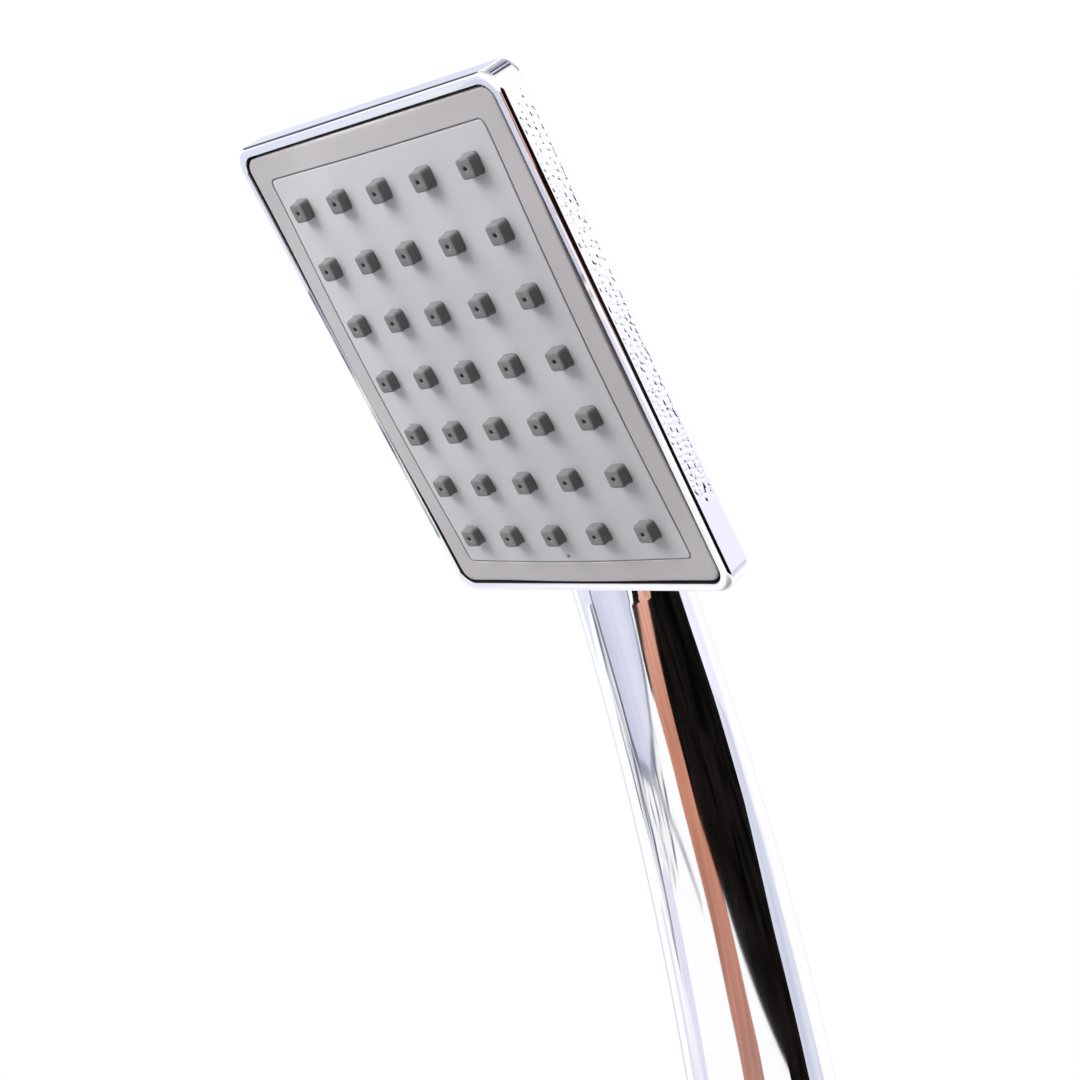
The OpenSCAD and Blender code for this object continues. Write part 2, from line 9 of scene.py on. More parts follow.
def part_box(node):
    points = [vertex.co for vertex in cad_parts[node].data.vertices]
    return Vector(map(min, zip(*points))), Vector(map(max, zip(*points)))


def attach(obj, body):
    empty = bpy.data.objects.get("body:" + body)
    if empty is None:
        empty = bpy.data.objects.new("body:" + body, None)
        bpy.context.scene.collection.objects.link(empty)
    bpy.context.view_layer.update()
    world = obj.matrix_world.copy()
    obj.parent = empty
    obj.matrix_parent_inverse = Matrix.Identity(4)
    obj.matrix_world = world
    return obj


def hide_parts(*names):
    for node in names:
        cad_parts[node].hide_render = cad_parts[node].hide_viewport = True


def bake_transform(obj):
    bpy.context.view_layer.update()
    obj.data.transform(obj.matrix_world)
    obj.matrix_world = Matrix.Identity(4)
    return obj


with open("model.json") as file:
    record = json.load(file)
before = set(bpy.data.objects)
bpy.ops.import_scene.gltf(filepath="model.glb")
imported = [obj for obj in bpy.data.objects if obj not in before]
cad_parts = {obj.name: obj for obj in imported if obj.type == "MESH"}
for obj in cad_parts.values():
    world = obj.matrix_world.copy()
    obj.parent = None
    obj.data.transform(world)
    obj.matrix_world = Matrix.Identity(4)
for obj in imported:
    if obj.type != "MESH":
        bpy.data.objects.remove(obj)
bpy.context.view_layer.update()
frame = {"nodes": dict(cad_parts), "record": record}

mm = 0.001
tilt = math.radians(19.5)
cosT, sinT = math.cos(tilt), math.sin(tilt)
bend = math.radians(9.5)

# Handle centre line, shared by every piece that follows it
line = {"bendR": 700.0, "straight": 46.0, "ridgeR": 220.0, "ridgeLen": 75.0, "start": 12.2,
        "bellyDrop": 101.0, "endR": 12.6, "neckA": 13.4, "neckB": 9.0, "bellyA": 15.2, "bellyB": 14.2,
        "taperOn": 7.0, "taperSoft": 3.0, "ridgeFade": 1.5, "leastA": 0.6, "leastB": 0.3}
tiny = 1e-9
neckS = line["straight"] + line["bendR"] * bend
bellyS = neckS - line["bellyDrop"]
neckAt = (-line["bendR"] * (1 - math.cos(bend)), line["straight"] + line["bendR"] * math.sin(bend))
neckHead = (-54.0, -9.5)
headAt = (neckAt[0] + neckHead[0] * sinT + neckHead[1] * cosT,
          neckAt[1] - neckHead[0] * cosT + neckHead[1] * sinT)
halfW, halfH, cornerR = 37.45, 48.75, 4.0


# Head frame in millimetres: x across, y up the face, z out of the front rim
def toRow(p):
    x, y, z = p[..., 0], p[..., 1], p[..., 2]
    return np.stack([x, headAt[0] - y * sinT - z * cosT, headAt[1] + y * cosT - z * sinT], -1)


def turnRow(v):
    x, y, z = v[..., 0], v[..., 1], v[..., 2]
    return np.stack([x, -y * sinT - z * cosT, y * cosT - z * sinT], -1)


def toHead(p):
    x, y, z = p[..., 0], p[..., 1] - headAt[0], p[..., 2] - headAt[1]
    return x, -y * sinT + z * cosT, -y * cosT - z * sinT


def smoothStep(a, b, x):
    t = np.clip((x - a) / (b - a), 0, 1)
    return t * t * (3 - 2 * t)


def roundRect(x, y, hx, hy, r):
    dx, dy = np.abs(x) - hx + r, np.abs(y) - hy + r
    return np.hypot(np.maximum(dx, 0), np.maximum(dy, 0)) + np.minimum(np.maximum(dx, dy), 0) - r


# Rounded corner of radius r where two surfaces cut or join
def roundCut(a, b, r):
    return np.minimum(-r, np.maximum(a, b)) + np.hypot(np.maximum(r + a, 0), np.maximum(r + b, 0))


def roundJoin(a, b, r):
    return np.maximum(r, np.minimum(a, b)) - np.hypot(np.maximum(r - a, 0), np.maximum(r - b, 0))


def makeMesh(name, points, faces, normals=None):
    mesh = bpy.data.meshes.new(name)
    points = np.asarray(points, float) * mm
    faces = [tuple(int(i) for i in f) for f in faces]
    mesh.from_pydata(points.tolist(), [], faces)
    mesh.polygons.foreach_set("use_smooth", np.ones(len(mesh.polygons), bool))
    if normals is not None:
        mesh.normals_split_custom_set_from_vertices(normals.tolist())
    mesh.update()
    obj = bpy.data.objects.new(name, mesh)
    bpy.context.scene.collection.objects.link(obj)
    return obj


def sharpen(obj, degrees):
    obj.data.set_sharp_from_angle(angle=math.radians(degrees))


# Materials
def newMaterial(name):
    mat = bpy.data.materials.new(name)
    mat.use_nodes = True
    tree = mat.node_tree
    shader = tree.nodes["Principled BSDF"]
    coord = tree.nodes.new("ShaderNodeTexCoord")
    return mat, tree, shader, coord.outputs["Object"]


def noise(tree, vector, scale, detail=3.0):
    n = tree.nodes.new("ShaderNodeTexNoise")
    n.inputs["Scale"].default_value = scale
    n.inputs["Detail"].default_value = detail
    tree.links.new(vector, n.inputs["Vector"])
    return n.outputs["Fac"]


def ramp(tree, value, stops):
    r = tree.nodes.new("ShaderNodeValToRGB")
    elements = r.color_ramp.elements
    while len(elements) < len(stops):
        elements.new(0.5)
    for e, (at, colour) in zip(elements, stops):
        e.position = at
        e.color = (*colour, 1)
    tree.links.new(value, r.inputs["Fac"])
    return r.outputs["Color"]


def spread(tree, value, low, high):
    m = tree.nodes.new("ShaderNodeMapRange")
    m.inputs["To Min"].default_value = low
    m.inputs["To Max"].default_value = high
    tree.links.new(value, m.inputs["Value"])
    return m.outputs["Result"]


def bump(tree, shader, height, strength, distance):
    b = tree.nodes.new("ShaderNodeBump")
    b.inputs["Strength"].default_value = strength
    b.inputs["Distance"].default_value = distance
    tree.links.new(height, b.inputs["Height"])
    tree.links.new(b.outputs["Normal"], shader.inputs["Normal"])


def shade(colour, k):
    return tuple(min(c * k, 1) for c in colour)


# Two close tones of one colour
def mottle(tree, value, colour, vary):
    return ramp(tree, value, [(0.3, shade(colour, 1 - vary)), (0.7, shade(colour, 1 + vary))])


wear = {"patch": 0.37, "smooth": 0.85, "rough": 1.15, "grainScale": 3, "grainSize": 0.00004}


def finishOf(name, colour, metallic=0.0, rough=0.4, vary=0.06, scale=900.0, grain=0.0):
    mat, tree, shader, vector = newMaterial(name)
    tree.links.new(mottle(tree, noise(tree, vector, scale), colour, vary), shader.inputs["Base Color"])
    shader.inputs["Metallic"].default_value = metallic
    patches = noise(tree, vector, scale * wear["patch"])
    tree.links.new(spread(tree, patches, rough * wear["smooth"], rough * wear["rough"]),
                   shader.inputs["Roughness"])
    if grain:
        bump(tree, shader, noise(tree, vector, scale * wear["grainScale"]), grain, wear["grainSize"])
    return mat


def setMaterial(obj, mat):
    obj.data.materials.clear()
    obj.data.materials.append(mat)


chrome = finishOf("chrome", (0.93, 0.93, 0.95), metallic=1.0, rough=0.035, vary=0.012, scale=160)
# Unplated plastic inside the hollows; its near-black is painted shade for the dark gap round the plate
gapShadeFinish = finishOf("unplatedGapShade", (0.018, 0.018, 0.021), rough=0.55, vary=0.1, scale=700)
platedInlet = finishOf("platedInlet", (0.80, 0.80, 0.81), metallic=1.0, rough=0.16, vary=0.03, scale=700)
rubber = finishOf("rubber", (0.18, 0.177, 0.18), rough=0.55, vary=0.05, scale=1500, grain=0.25)
whitePlastic = finishOf("whitePlastic", (0.78, 0.78, 0.75), rough=0.38, vary=0.03, scale=400, grain=0.1)
gasketRubber = finishOf("gasketRubber", (0.03, 0.03, 0.032), rough=0.6, vary=0.2, scale=1400, grain=0.3)
screwSteel = finishOf("screwSteel", (0.60, 0.60, 0.62), metallic=1.0, rough=0.3, vary=0.08, scale=2400)
tubePlastic = finishOf("tubePlastic", (0.86, 0.86, 0.82), rough=0.3, vary=0.03, scale=500)
valvePlastic = finishOf("valvePlastic", (0.06, 0.15, 0.40), rough=0.36, vary=0.1, scale=900)
valveWhite = finishOf("valveWhite", (0.84, 0.82, 0.74), rough=0.34, vary=0.04, scale=900)
regulatorPlastic = finishOf("regulatorPlastic", (0.52, 0.05, 0.05), rough=0.36, vary=0.1, scale=900)
springSteel = finishOf("springSteel", (0.66, 0.66, 0.68), metallic=1.0, rough=0.22, vary=0.05, scale=3000)
meshSteel = finishOf("meshSteel", (0.58, 0.58, 0.60), metallic=1.0, rough=0.34, vary=0.1, scale=4000)

# Band and panel are the plate's two tones; the dark tone is painted shade in the panel groove and the gate
# dimple
plateFinish = {"band": (0.485, 0.463, 0.472), "panel": (0.55, 0.532, 0.565), "grooveShade": (0.20, 0.19, 0.195),
               "rough": 0.42, "cloud": 48.0, "vary": 0.05, "grain": 0.12, "grainScale": 4200,
               "grainSize": 0.00003}


def plateMaterial():
    mat, tree, shader, vector = newMaterial("sprayPlate")
    cloud = noise(tree, vector, plateFinish["cloud"])
    below, panelTone, grooveShadeTone = [mottle(tree, cloud, plateFinish[k], plateFinish["vary"])
                                 for k in ("band", "panel", "grooveShade")]
    for name, tone in (("inPanel", panelTone), ("inGrooveShade", grooveShadeTone)):
        mark, mix = tree.nodes.new("ShaderNodeAttribute"), tree.nodes.new("ShaderNodeMix")
        mark.attribute_name = name
        mix.data_type = "RGBA"
        tree.links.new(mark.outputs["Fac"], mix.inputs["Factor"])
        tree.links.new(below, mix.inputs[6])
        tree.links.new(tone, mix.inputs[7])
        below = mix.outputs[2]
    tree.links.new(below, shader.inputs["Base Color"])
    shader.inputs["Roughness"].default_value = plateFinish["rough"]
    grain = noise(tree, vector, plateFinish["grainScale"])
    bump(tree, shader, grain, plateFinish["grain"], plateFinish["grainSize"])
    return mat


sprayPlate = plateMaterial()
print("materials made")

# Housing
body = {"inset": 0.03, "wallInset": 0.33, "rimFillet": 0.9, "edgeRound": 0.8, "backRound": 2.4,
        "depth": 11.2, "sideDepth": 6.0, "hip": 7.6, "joinFront": 0.6, "joinBack": 5.0, "wall": 1.8,
        "endRound": 0.5, "ridgeShare": 0.97, "sideEase": (-6.5, -5.9), "hipEase": (-8.2, -7.0),
        "joinEase": (-6, -14)}
hollow = {"recessWall": 1.5, "recess": 3.2, "deepWall": 3.85, "deep": 9.4, "boreFrom": 37, "boreTop": 10,
          "socketR": 10.6, "socketTop": 38, "shadeWithin": 0.25}
hipLen = math.hypot(body["hip"], body["depth"] - body["sideDepth"])
hipU = (body["depth"] - body["sideDepth"]) / hipLen
hipZ = body["hip"] / hipLen


def halfAxis(s, neck, belly):
    k = (belly - neck) / line["bellyDrop"]
    reach = bellyS - line["start"]
    c = (belly + k * reach - line["endR"]) / reach ** 2
    d = bellyS - s
    taper = neckS + line["taperOn"] - s
    upper = neck + k * ((np.sqrt(taper ** 2 + line["taperSoft"] ** 2) + taper) / 2 - line["taperOn"])
    return np.where(s > bellyS, upper, belly + k * d - c * d * d)


# Distance along the handle's centre line and out from it, for points in the row frame
def alongHandle(p):
    y, z = p[..., 1], p[..., 2]
    bendR, straight, ridgeR = line["bendR"], line["straight"], line["ridgeR"]
    a = np.arctan2(z - straight, y + bendR)
    s = np.where(z < straight, z, straight + bendR * a)
    n = np.where(z < straight, y, np.hypot(y + bendR, z - straight) - bendR)
    cy, cz = neckAt[0] - ridgeR * math.cos(bend), neckAt[1] - ridgeR * math.sin(bend)
    b = np.arctan2(z - cz, y - cy)
    upper = s > neckS
    return (np.where(upper, neckS + ridgeR * (b - bend), s),
            np.where(upper, np.hypot(y - cy, z - cz) - ridgeR, n))


def ovalDistance(x, n, s, wall):
    fade = np.where(s > neckS, 1 - np.clip((s - neckS) / line["ridgeLen"], 0, 1) ** line["ridgeFade"], 1)
    a = np.maximum(halfAxis(s, line["neckA"], line["bellyA"]) * np.sqrt(fade) - wall, line["leastA"])
    b = np.maximum(halfAxis(s, line["neckB"], line["bellyB"]) * fade - wall, line["leastB"])
    k0 = np.hypot(x / a, n / b)
    k1 = np.hypot(x / a ** 2, n / b ** 2)
    return np.where(k1 > tiny, k0 * (k0 - 1) / np.maximum(k1, tiny), -np.minimum(a, b))


def hipDistance(x, y, z):
    t = (-body["sideDepth"] - z) / (body["depth"] - body["sideDepth"])
    return hipU * roundRect(x, y, halfW - body["hip"] * t, halfH - body["hip"] * t, cornerR)


# Recess of the plate, the space behind it, the handle's bore and the inlet's socket
def hollowDistance(p):
    x, y, z = toHead(p)
    s, n = alongHandle(p)
    plan = roundRect(x, y, halfW, halfH, cornerR)
    recess = np.maximum(plan + hollow["recessWall"], -z - hollow["recess"])
    deep = np.maximum(np.maximum(plan + hollow["deepWall"], -z - hollow["deep"]),
                      hipDistance(x, y, z) + body["wall"])
    bore = np.maximum(np.maximum(ovalDistance(x, n, s, body["wall"]), hollow["boreFrom"] - p[..., 2]),
                      y + hollow["boreTop"])
    socket = np.maximum(np.hypot(x, p[..., 1]) - hollow["socketR"], p[..., 2] - hollow["socketTop"])
    return np.minimum(np.minimum(recess, deep), np.minimum(bore, socket))


def bodyDistance(p):
    x, y, z = toHead(p)
    front = smoothStep(*body["sideEase"], z)
    side = roundRect(x, y, halfW - body["inset"] - (body["wallInset"] - body["inset"]) * front,
                     halfH - body["inset"], cornerR)
    hip = hipDistance(x, y, z)
    head = roundCut(side, hip + body["inset"] * smoothStep(*body["hipEase"], z), body["edgeRound"])
    head = roundCut(head, -z - body["depth"], body["backRound"])
    head = roundCut(head, z + body["inset"], body["rimFillet"])
    s, n = alongHandle(p)
    handle = roundCut(ovalDistance(x, n, s, 0.0), line["start"] - p[..., 2], body["endRound"])
    handle = np.maximum(handle, s - neckS - body["ridgeShare"] * line["ridgeLen"])
    join = body["joinFront"] + (body["joinBack"] - body["joinFront"]) * smoothStep(*body["joinEase"], z)
    return np.maximum(roundJoin(head, handle, join), -hollowDistance(p))


def gradient(f, p, h=0.02):
    g = np.empty_like(p)
    for k in range(3):
        step = np.zeros(3)
        step[k] = h
        g[..., k] = (f(p + step) - f(p - step)) / (2 * h)
    return g


# Lattice runs with start, end and step: across the head, along head and handle, and through them
net = {"across": [(-38.6, 38.7, 0.8)], "through": [(-18.5, 18.6, 0.78)],
       "along": [(-205.5, -194, 0.55), (-194, -66, 1.3), (-66, -44, 0.6), (-44, 50.5, 0.85)],
       "shift": (0.013, 0.017, 0.011), "quick": 2.0, "passes": 4, "leastSlope": 0.2, "farthest": 0.35}


# Quad mesh of f = 0 on a lattice that place() may bend
def netSurface(f, lattice, place):
    grid = place(np.stack(np.meshgrid(*lattice, indexing="ij"), -1))
    value = f(grid)
    inside = value < 0
    cells = tuple(n - 1 for n in value.shape)
    total = np.zeros((*cells, 3))
    count = np.zeros(cells)
    quads = []
    number = np.arange(np.prod(cells)).reshape(cells)
    for axis in range(3):
        u, v = [k for k in range(3) if k != axis]
        low = [slice(None)] * 3
        high = [slice(None)] * 3
        low[axis], high[axis] = slice(0, -1), slice(1, None)
        crossed = inside[tuple(low)] != inside[tuple(high)]
        at = np.argwhere(crossed)
        v0, v1 = value[tuple(low)][crossed], value[tuple(high)][crossed]
        t = (v0 / (v0 - v1))[:, None]
        point = grid[tuple(low)][crossed] * (1 - t) + grid[tuple(high)][crossed] * t
        corners = []
        for du, dv in ((0, 0), (-1, 0), (-1, -1), (0, -1)):
            cell = at.copy()
            cell[:, u] += du
            cell[:, v] += dv
            key = tuple(cell.T)
            np.add.at(total, key, point)
            np.add.at(count, key, 1)
            corners.append(number[key])
        loop = np.stack(corners, -1)
        flip = inside[tuple(low)][crossed] == (axis == 1)
        loop[flip] = loop[flip][:, ::-1]
        quads.append(loop)
    used = count.ravel() > 0
    points = total.reshape(-1, 3)[used] / count.ravel()[used][:, None]
    index = np.cumsum(used) - 1
    for _ in range(net["passes"]):
        d = f(points)[:, None]
        g = gradient(f, points)
        step = d * g / np.maximum((g * g).sum(-1, keepdims=True), net["leastSlope"])
        size = np.linalg.norm(step, axis=-1, keepdims=True)
        points = points - step * np.minimum(1, net["farthest"] / np.maximum(size, tiny))
    normals = gradient(f, points)
    normals /= np.linalg.norm(normals, axis=-1, keepdims=True)
    return points, index[np.concatenate(quads)], normals


along = np.linspace(0, neckS + line["ridgeLen"], 120)
lean = np.where(along < line["straight"], 0, np.where(
    along < neckS, (along - line["straight"]) / line["bendR"], bend + (along - neckS) / line["ridgeR"]))
centreY = np.where(along < line["straight"], 0, np.where(
    along < neckS, -line["bendR"] * (1 - np.cos(lean)),
    neckAt[0] - line["ridgeR"] * (math.cos(bend) - np.cos(lean))))
centreZ = np.where(along < line["straight"], along, np.where(
    along < neckS, line["straight"] + line["bendR"] * np.sin(lean),
    neckAt[1] + line["ridgeR"] * (np.sin(lean) - math.sin(bend))))
_, lineY, lineZ = toHead(np.stack([along * 0, centreY, centreZ], -1))


def bentPlace(g):
    middle = np.interp(g[..., 1], lineY, lineZ)
    return toRow(np.stack([g[..., 0], g[..., 1], middle + g[..., 2]], -1))


coarse = 1.0
lattice = [np.concatenate([np.arange(start, end, step * coarse) for start, end, step in net[way]]) + shift
           for way, shift in zip(("across", "along", "through"), net["shift"])]
points, quads, normals = netSurface(bodyDistance, lattice, bentPlace)
shell = makeMesh("bodyShell", points, quads, normals)
setMaterial(shell, chrome)
shell.data.materials.append(gapShadeFinish)
middles = points[quads].mean(1)
# Faces in the hollows take the near-black painted shade
inShadedHollow = np.abs(hollowDistance(middles)) < hollow["shadeWithin"]
shell.data.polygons.foreach_set("material_index", inShadedHollow.astype(np.int32))
print("shell", len(points), len(quads))

# Rim and side wall as one band round the head, with a pebbled grip on both side walls
rim = {"inner": 1.85, "innerR": 3.15, "innerEdge": 0.22, "innerFoot": (-3.6, -2.0), "tuck": (-1.0, -3.9),
       "hipRuns": ((1.2, 0.0), (2.4, 0.0), (3.6, 0.045), (4.6, 0.12)), "close": (-2.6, -6.6), "shadedRows": 3,
       "cornerSteps": 13, "acrossSteps": 24, "step": 0.3, "quickStep": 0.8, "slopeStep": 0.04,
       "pebble": 1.25, "depth": 0.1, "stray": 0.36, "lowest": 0.55, "crease": 0.55, "dome": 0.35,
       "gripTop": 44.5, "gripEnd": -31.0, "gripRows": (-5.3, -0.5), "pebbleRows": (-6.5, 0.6),
       "ragged": (1.6, 2.9), "raggedFine": (0.8, 6.1), "endFade": 1.2, "topFade": 1.5,
       "backFade": (-5.2, -4.2), "frontFade": (-1.1, -0.75)}


# Section of the band: how far out and how deep, the way it faces, and the corner radius there
def rimProfile():
    fillet, edge, wall = body["rimFillet"], rim["innerEdge"], rim["inner"]
    rows = []

    def add(u, z, nu, nz, r):
        rows.append((u, z, nu, nz, r))

    def radius(u):
        return cornerR + u * (cornerR - rim["innerR"]) / wall

    add(*rim["tuck"], -0.5, -0.85, radius(rim["tuck"][0]))
    for z in rim["innerFoot"]:
        add(-wall, z, -1, 0, radius(-wall))
    for a in np.linspace(0, math.pi / 2, 5):
        add(-wall + edge * (1 - math.cos(a)), -edge + edge * math.sin(a), -math.cos(a), math.sin(a),
            radius(-wall))
    for u in np.linspace(-wall + edge, -fillet, 4)[1:-1]:
        add(u, 0, 0, 1, radius(u))
    for a in np.linspace(0, math.pi / 2, 10):
        nu, nz = math.sin(a), math.cos(a)
        add(-fillet + fillet * nu, -fillet + fillet * nz, nu, nz, cornerR)
    r = body["edgeRound"]
    start = -body["sideDepth"] + r / hipZ
    for z in np.linspace(-fillet, start, 16)[1:-1]:
        add(0, z, 1, 0, cornerR)
    for a in np.linspace(0, math.pi / 2, 8):
        u, b = r * (math.cos(a) - 1), r * (math.sin(a) - 1)
        nu, nz = math.cos(a) + hipU * math.sin(a), -hipZ * math.sin(a)
        size = math.hypot(nu, nz)
        add(u, -body["sideDepth"] - (b - hipU * u) / hipZ, nu / size, nz / size, cornerR)
    u0, z0 = -r, -body["sideDepth"] - hipU * r / hipZ
    for run, sink in rim["hipRuns"]:
        add(u0 - hipZ * run - hipU * sink, z0 - hipU * run + hipZ * sink, hipU, -hipZ, cornerR)
    add(*rim["close"], -0.6, 0.8, cornerR)
    return np.array(rows)


# Columns round the head: which wall or corner, and how far along it
def rimColumns():
    step = rim["step"]
    columns = []
    for kx, ky, a0 in ((1, -1, -90), (1, 1, 0), (-1, 1, 90), (-1, -1, 180)):
        for a in np.linspace(a0, a0 + 90, rim["cornerSteps"]):
            columns.append((kx, ky, math.radians(a), None))
        across = a0 in (0, 180)
        length = 2 * (halfW - cornerR) if across else 2 * (halfH - cornerR)
        count = rim["acrossSteps"] if across else int(length / step)
        for f in np.linspace(0, 1, count + 1)[1:-1]:
            columns.append((kx, ky, math.radians(a0 + 90), f))
    return columns


# Height of the pebbles, 0 to 1, on a side wall
def pebbles(y, z, seed):
    rng = np.random.default_rng(seed)
    pitch = rim["pebble"]
    ys = np.arange(rim["gripEnd"] - 3, rim["gripTop"] + 3, pitch)
    zs = np.arange(*rim["pebbleRows"], pitch)
    seeds = np.array([(a + (k % 2) * pitch / 2, b) for a in ys for k, b in enumerate(zs)])
    seeds = seeds + rng.uniform(-rim["stray"], rim["stray"], seeds.shape) * pitch
    tall = rng.uniform(rim["lowest"], 1.0, len(seeds))
    flat = np.stack([y.ravel(), z.ravel()], -1)
    out = np.empty(len(flat))
    batch = 4000
    for k in range(0, len(flat), batch):
        d = np.linalg.norm(flat[k:k + batch, None] - seeds[None], axis=-1)
        near = np.argpartition(d, 1, axis=1)[:, :2]
        pair = np.take_along_axis(d, near, 1)
        first = pair.argmin(1)
        d1, d2 = pair.min(1), pair.max(1)
        height = tall[np.take_along_axis(near, first[:, None], 1)[:, 0]]
        crease = smoothStep(0.0, rim["crease"], (d2 - d1) / pitch)
        out[k:k + batch] = crease * height * (1 - rim["dome"] * (d1 / pitch) ** 2)
    return out.reshape(y.shape)


# Where the pebbles are: 1 inside the grip, fading out at a ragged lower end
def gripMask(y, z):
    (swing, waves), (fine, ripples), top = rim["ragged"], rim["raggedFine"], rim["gripTop"]
    ragged = rim["gripEnd"] + swing * np.sin(z * waves) + fine * np.sin(z * ripples + 1)
    return (smoothStep(ragged, ragged + rim["endFade"], y) * (1 - smoothStep(top - rim["topFade"], top, y))
            * smoothStep(*rim["backFade"], z) * (1 - smoothStep(*rim["frontFade"], z)))


def buildRim():
    profile, columns = rimProfile(), rimColumns()
    place = np.zeros((len(columns), len(profile), 3))
    facing = np.zeros_like(place)
    for i, (kx, ky, a, f) in enumerate(columns):
        u, r = profile[:, 0], profile[:, 4]
        cx, cy = kx * (halfW + u - r), ky * (halfH + u - r)
        nx, ny = math.cos(a), math.sin(a)
        x, y = cx + r * nx, cy + r * ny
        if f is not None:
            endX, endY = (cx, -cy) if abs(nx) > 0.5 else (-cx, cy)
            x = x * (1 - f) + (endX + r * nx) * f
            y = y * (1 - f) + (endY + r * ny) * f
        place[i] = np.stack([x, y, profile[:, 1]], -1)
        facing[i] = np.stack([nx * profile[:, 2], ny * profile[:, 2], profile[:, 3]], -1)
    low, high = rim["gripRows"]
    for sign, seed in ((1, 3), (-1, 8)):
        rows = np.flatnonzero((profile[:, 1] < high) & (profile[:, 1] > low) & (profile[:, 2] > 0.5))
        cols = np.array([i for i, (kx, _, a, f) in enumerate(columns)
                         if f is not None and kx == sign and abs(math.cos(a)) > 0.5])
        y, z = place[np.ix_(cols, rows)][..., 1], place[np.ix_(cols, rows)][..., 2]

        def sunk(dy=0.0, dz=0.0):
            return rim["depth"] * gripMask(y + dy, z + dz) * (pebbles(y + dy, z + dz, seed) - 1)

        h = rim["slopeStep"]
        place[np.ix_(cols, rows, [0])] += sign * sunk()[..., None]
        slopeY, slopeZ = (sunk(h) - sunk(-h)) / (2 * h), (sunk(0, h) - sunk(0, -h)) / (2 * h)
        facing[np.ix_(cols, rows, [1])] -= slopeY[..., None]
        facing[np.ix_(cols, rows, [2])] -= slopeZ[..., None]
    facing /= np.linalg.norm(facing, axis=-1, keepdims=True)
    n, m = len(columns), len(profile)
    faces = [(i * m + (j + 1) % m, ((i + 1) % n) * m + (j + 1) % m, ((i + 1) % n) * m + j, i * m + j)
             for i in range(n) for j in range(m)]
    obj = makeMesh("rimBand", toRow(place.reshape(-1, 3)), faces, turnRow(facing.reshape(-1, 3)))
    setMaterial(obj, chrome)
    obj.data.materials.append(gapShadeFinish)
    # The rows tucked inside the rim take the same near-black painted shade
    tuckedShaded = np.arange(m) < rim["shadedRows"]
    obj.data.polygons.foreach_set("material_index", np.tile(tuckedShaded.astype(np.int32), n))
    return obj


band = buildRim()
print("rim band", len(band.data.polygons))

# Spray plate
plate = {"w": 35.1, "h": 46.4, "r": 2.65, "crown": 1.6, "rest": -0.3, "soft": 0.25, "rx": 458.0,
         "ry": 719.0, "back": -3.2, "panelW": 30.4, "panelH": 41.7, "panelR": 1.2, "line": 0.28,
         "lineDepth": 0.25, "lineEase": (0.28, 0.62), "edge": 0.35, "hole": 1.64, "pitchX": 12.0,
         "pitchY": 11.7, "pocketW": 29.0, "pocketH": 40.0, "pocket": -1.58, "pocketSlack": 0.02, "sharp": 38,
         "gateY": -5.3, "gateR": 0.75, "gateDepth": 0.2, "gateEase": (0.4, 0.75), "gateStep": 0.15,
         "edgeLines": (0, 0.03, 0.1, 0.2, 0.35, 0.8, 1.6, 2.65), "panelLines": (-2.1, 0.45, 0.13),
         "besidePanel": (0.9, -3.0), "field": (3.5, 1.5), "pocketLine": 0.05, "holeLine": 0.25,
         "closest": 0.025}
nozzleX = [(i - 2) * plate["pitchX"] for i in range(5)]
nozzleY = [(j - 3) * plate["pitchY"] for j in range(7)]


# Crown that runs out to a level border
def crown(x, y):
    dome = plate["crown"] - x ** 2 / (2 * plate["rx"]) - y ** 2 / (2 * plate["ry"])
    return (dome + plate["rest"] + np.sqrt((dome - plate["rest"]) ** 2 + plate["soft"] ** 2)) / 2


def plateLines(half, panel, pocket, centres):
    lines = [half - d for d in plate["edgeLines"]] + [pocket, pocket - plate["pocketLine"]]
    first, last, step = plate["panelLines"]
    lines += list(np.arange(panel + first, panel + last, step)) + [panel + d for d in plate["besidePanel"]]
    lines += list(np.arange(0, panel - plate["field"][0], plate["field"][1]))
    lines = [v for v in lines if v >= 0]
    lines += [-v for v in lines]
    hole, beside = plate["hole"], plate["holeLine"]
    for c in centres:
        lines += [c - hole - beside, c - hole, c + hole, c + hole + beside]
    lines = np.unique(np.round(lines, 3))
    keep = [lines[0]]
    fixed = {round(c + k * hole, 3) for c in centres for k in (-1, 1)}
    for v in lines[1:]:
        if v - keep[-1] < plate["closest"]:
            if round(v, 3) in fixed:
                keep[-1] = v
            continue
        keep.append(v)
    return np.array(keep)


def roundCorners(x, y, hx, hy, r):
    ax, ay = np.abs(x) - hx + r, np.abs(y) - hy + r
    both = (ax > 0) & (ay > 0)
    a, b = np.where(both, ax / r, 0), np.where(both, ay / r, 0)
    newX = np.sign(x) * (hx - r + r * a * np.sqrt(1 - b * b / 2))
    newY = np.sign(y) * (hy - r + r * b * np.sqrt(1 - a * a / 2))
    return np.where(both, newX, x), np.where(both, newY, y)


def plateSurface(x, y):
    edge, r = -roundRect(x, y, plate["w"], plate["h"], plate["r"]), plate["edge"]
    drop = np.where(edge < r, r - np.sqrt(np.maximum(r * r - (r - np.clip(edge, 0, r)) ** 2, 0)), 0)
    panel = roundRect(x, y, plate["panelW"], plate["panelH"], plate["panelR"])
    near, far = [plate["line"] * k for k in plate["lineEase"]]
    depth, gateDepth = plate["lineDepth"], plate["gateDepth"]
    groove = depth * (1 - smoothStep(near, far, np.abs(panel)))
    near, far = [plate["gateR"] * k for k in plate["gateEase"]]
    mark = gateDepth * (1 - smoothStep(near, far, np.hypot(x, y - (nozzleY[0] + plate["gateY"]))))
    # The third value is where the groove and the gate dimple get painted shade
    return crown(x, y) - drop - groove - mark, panel, np.maximum(groove / depth, mark / gateDepth)


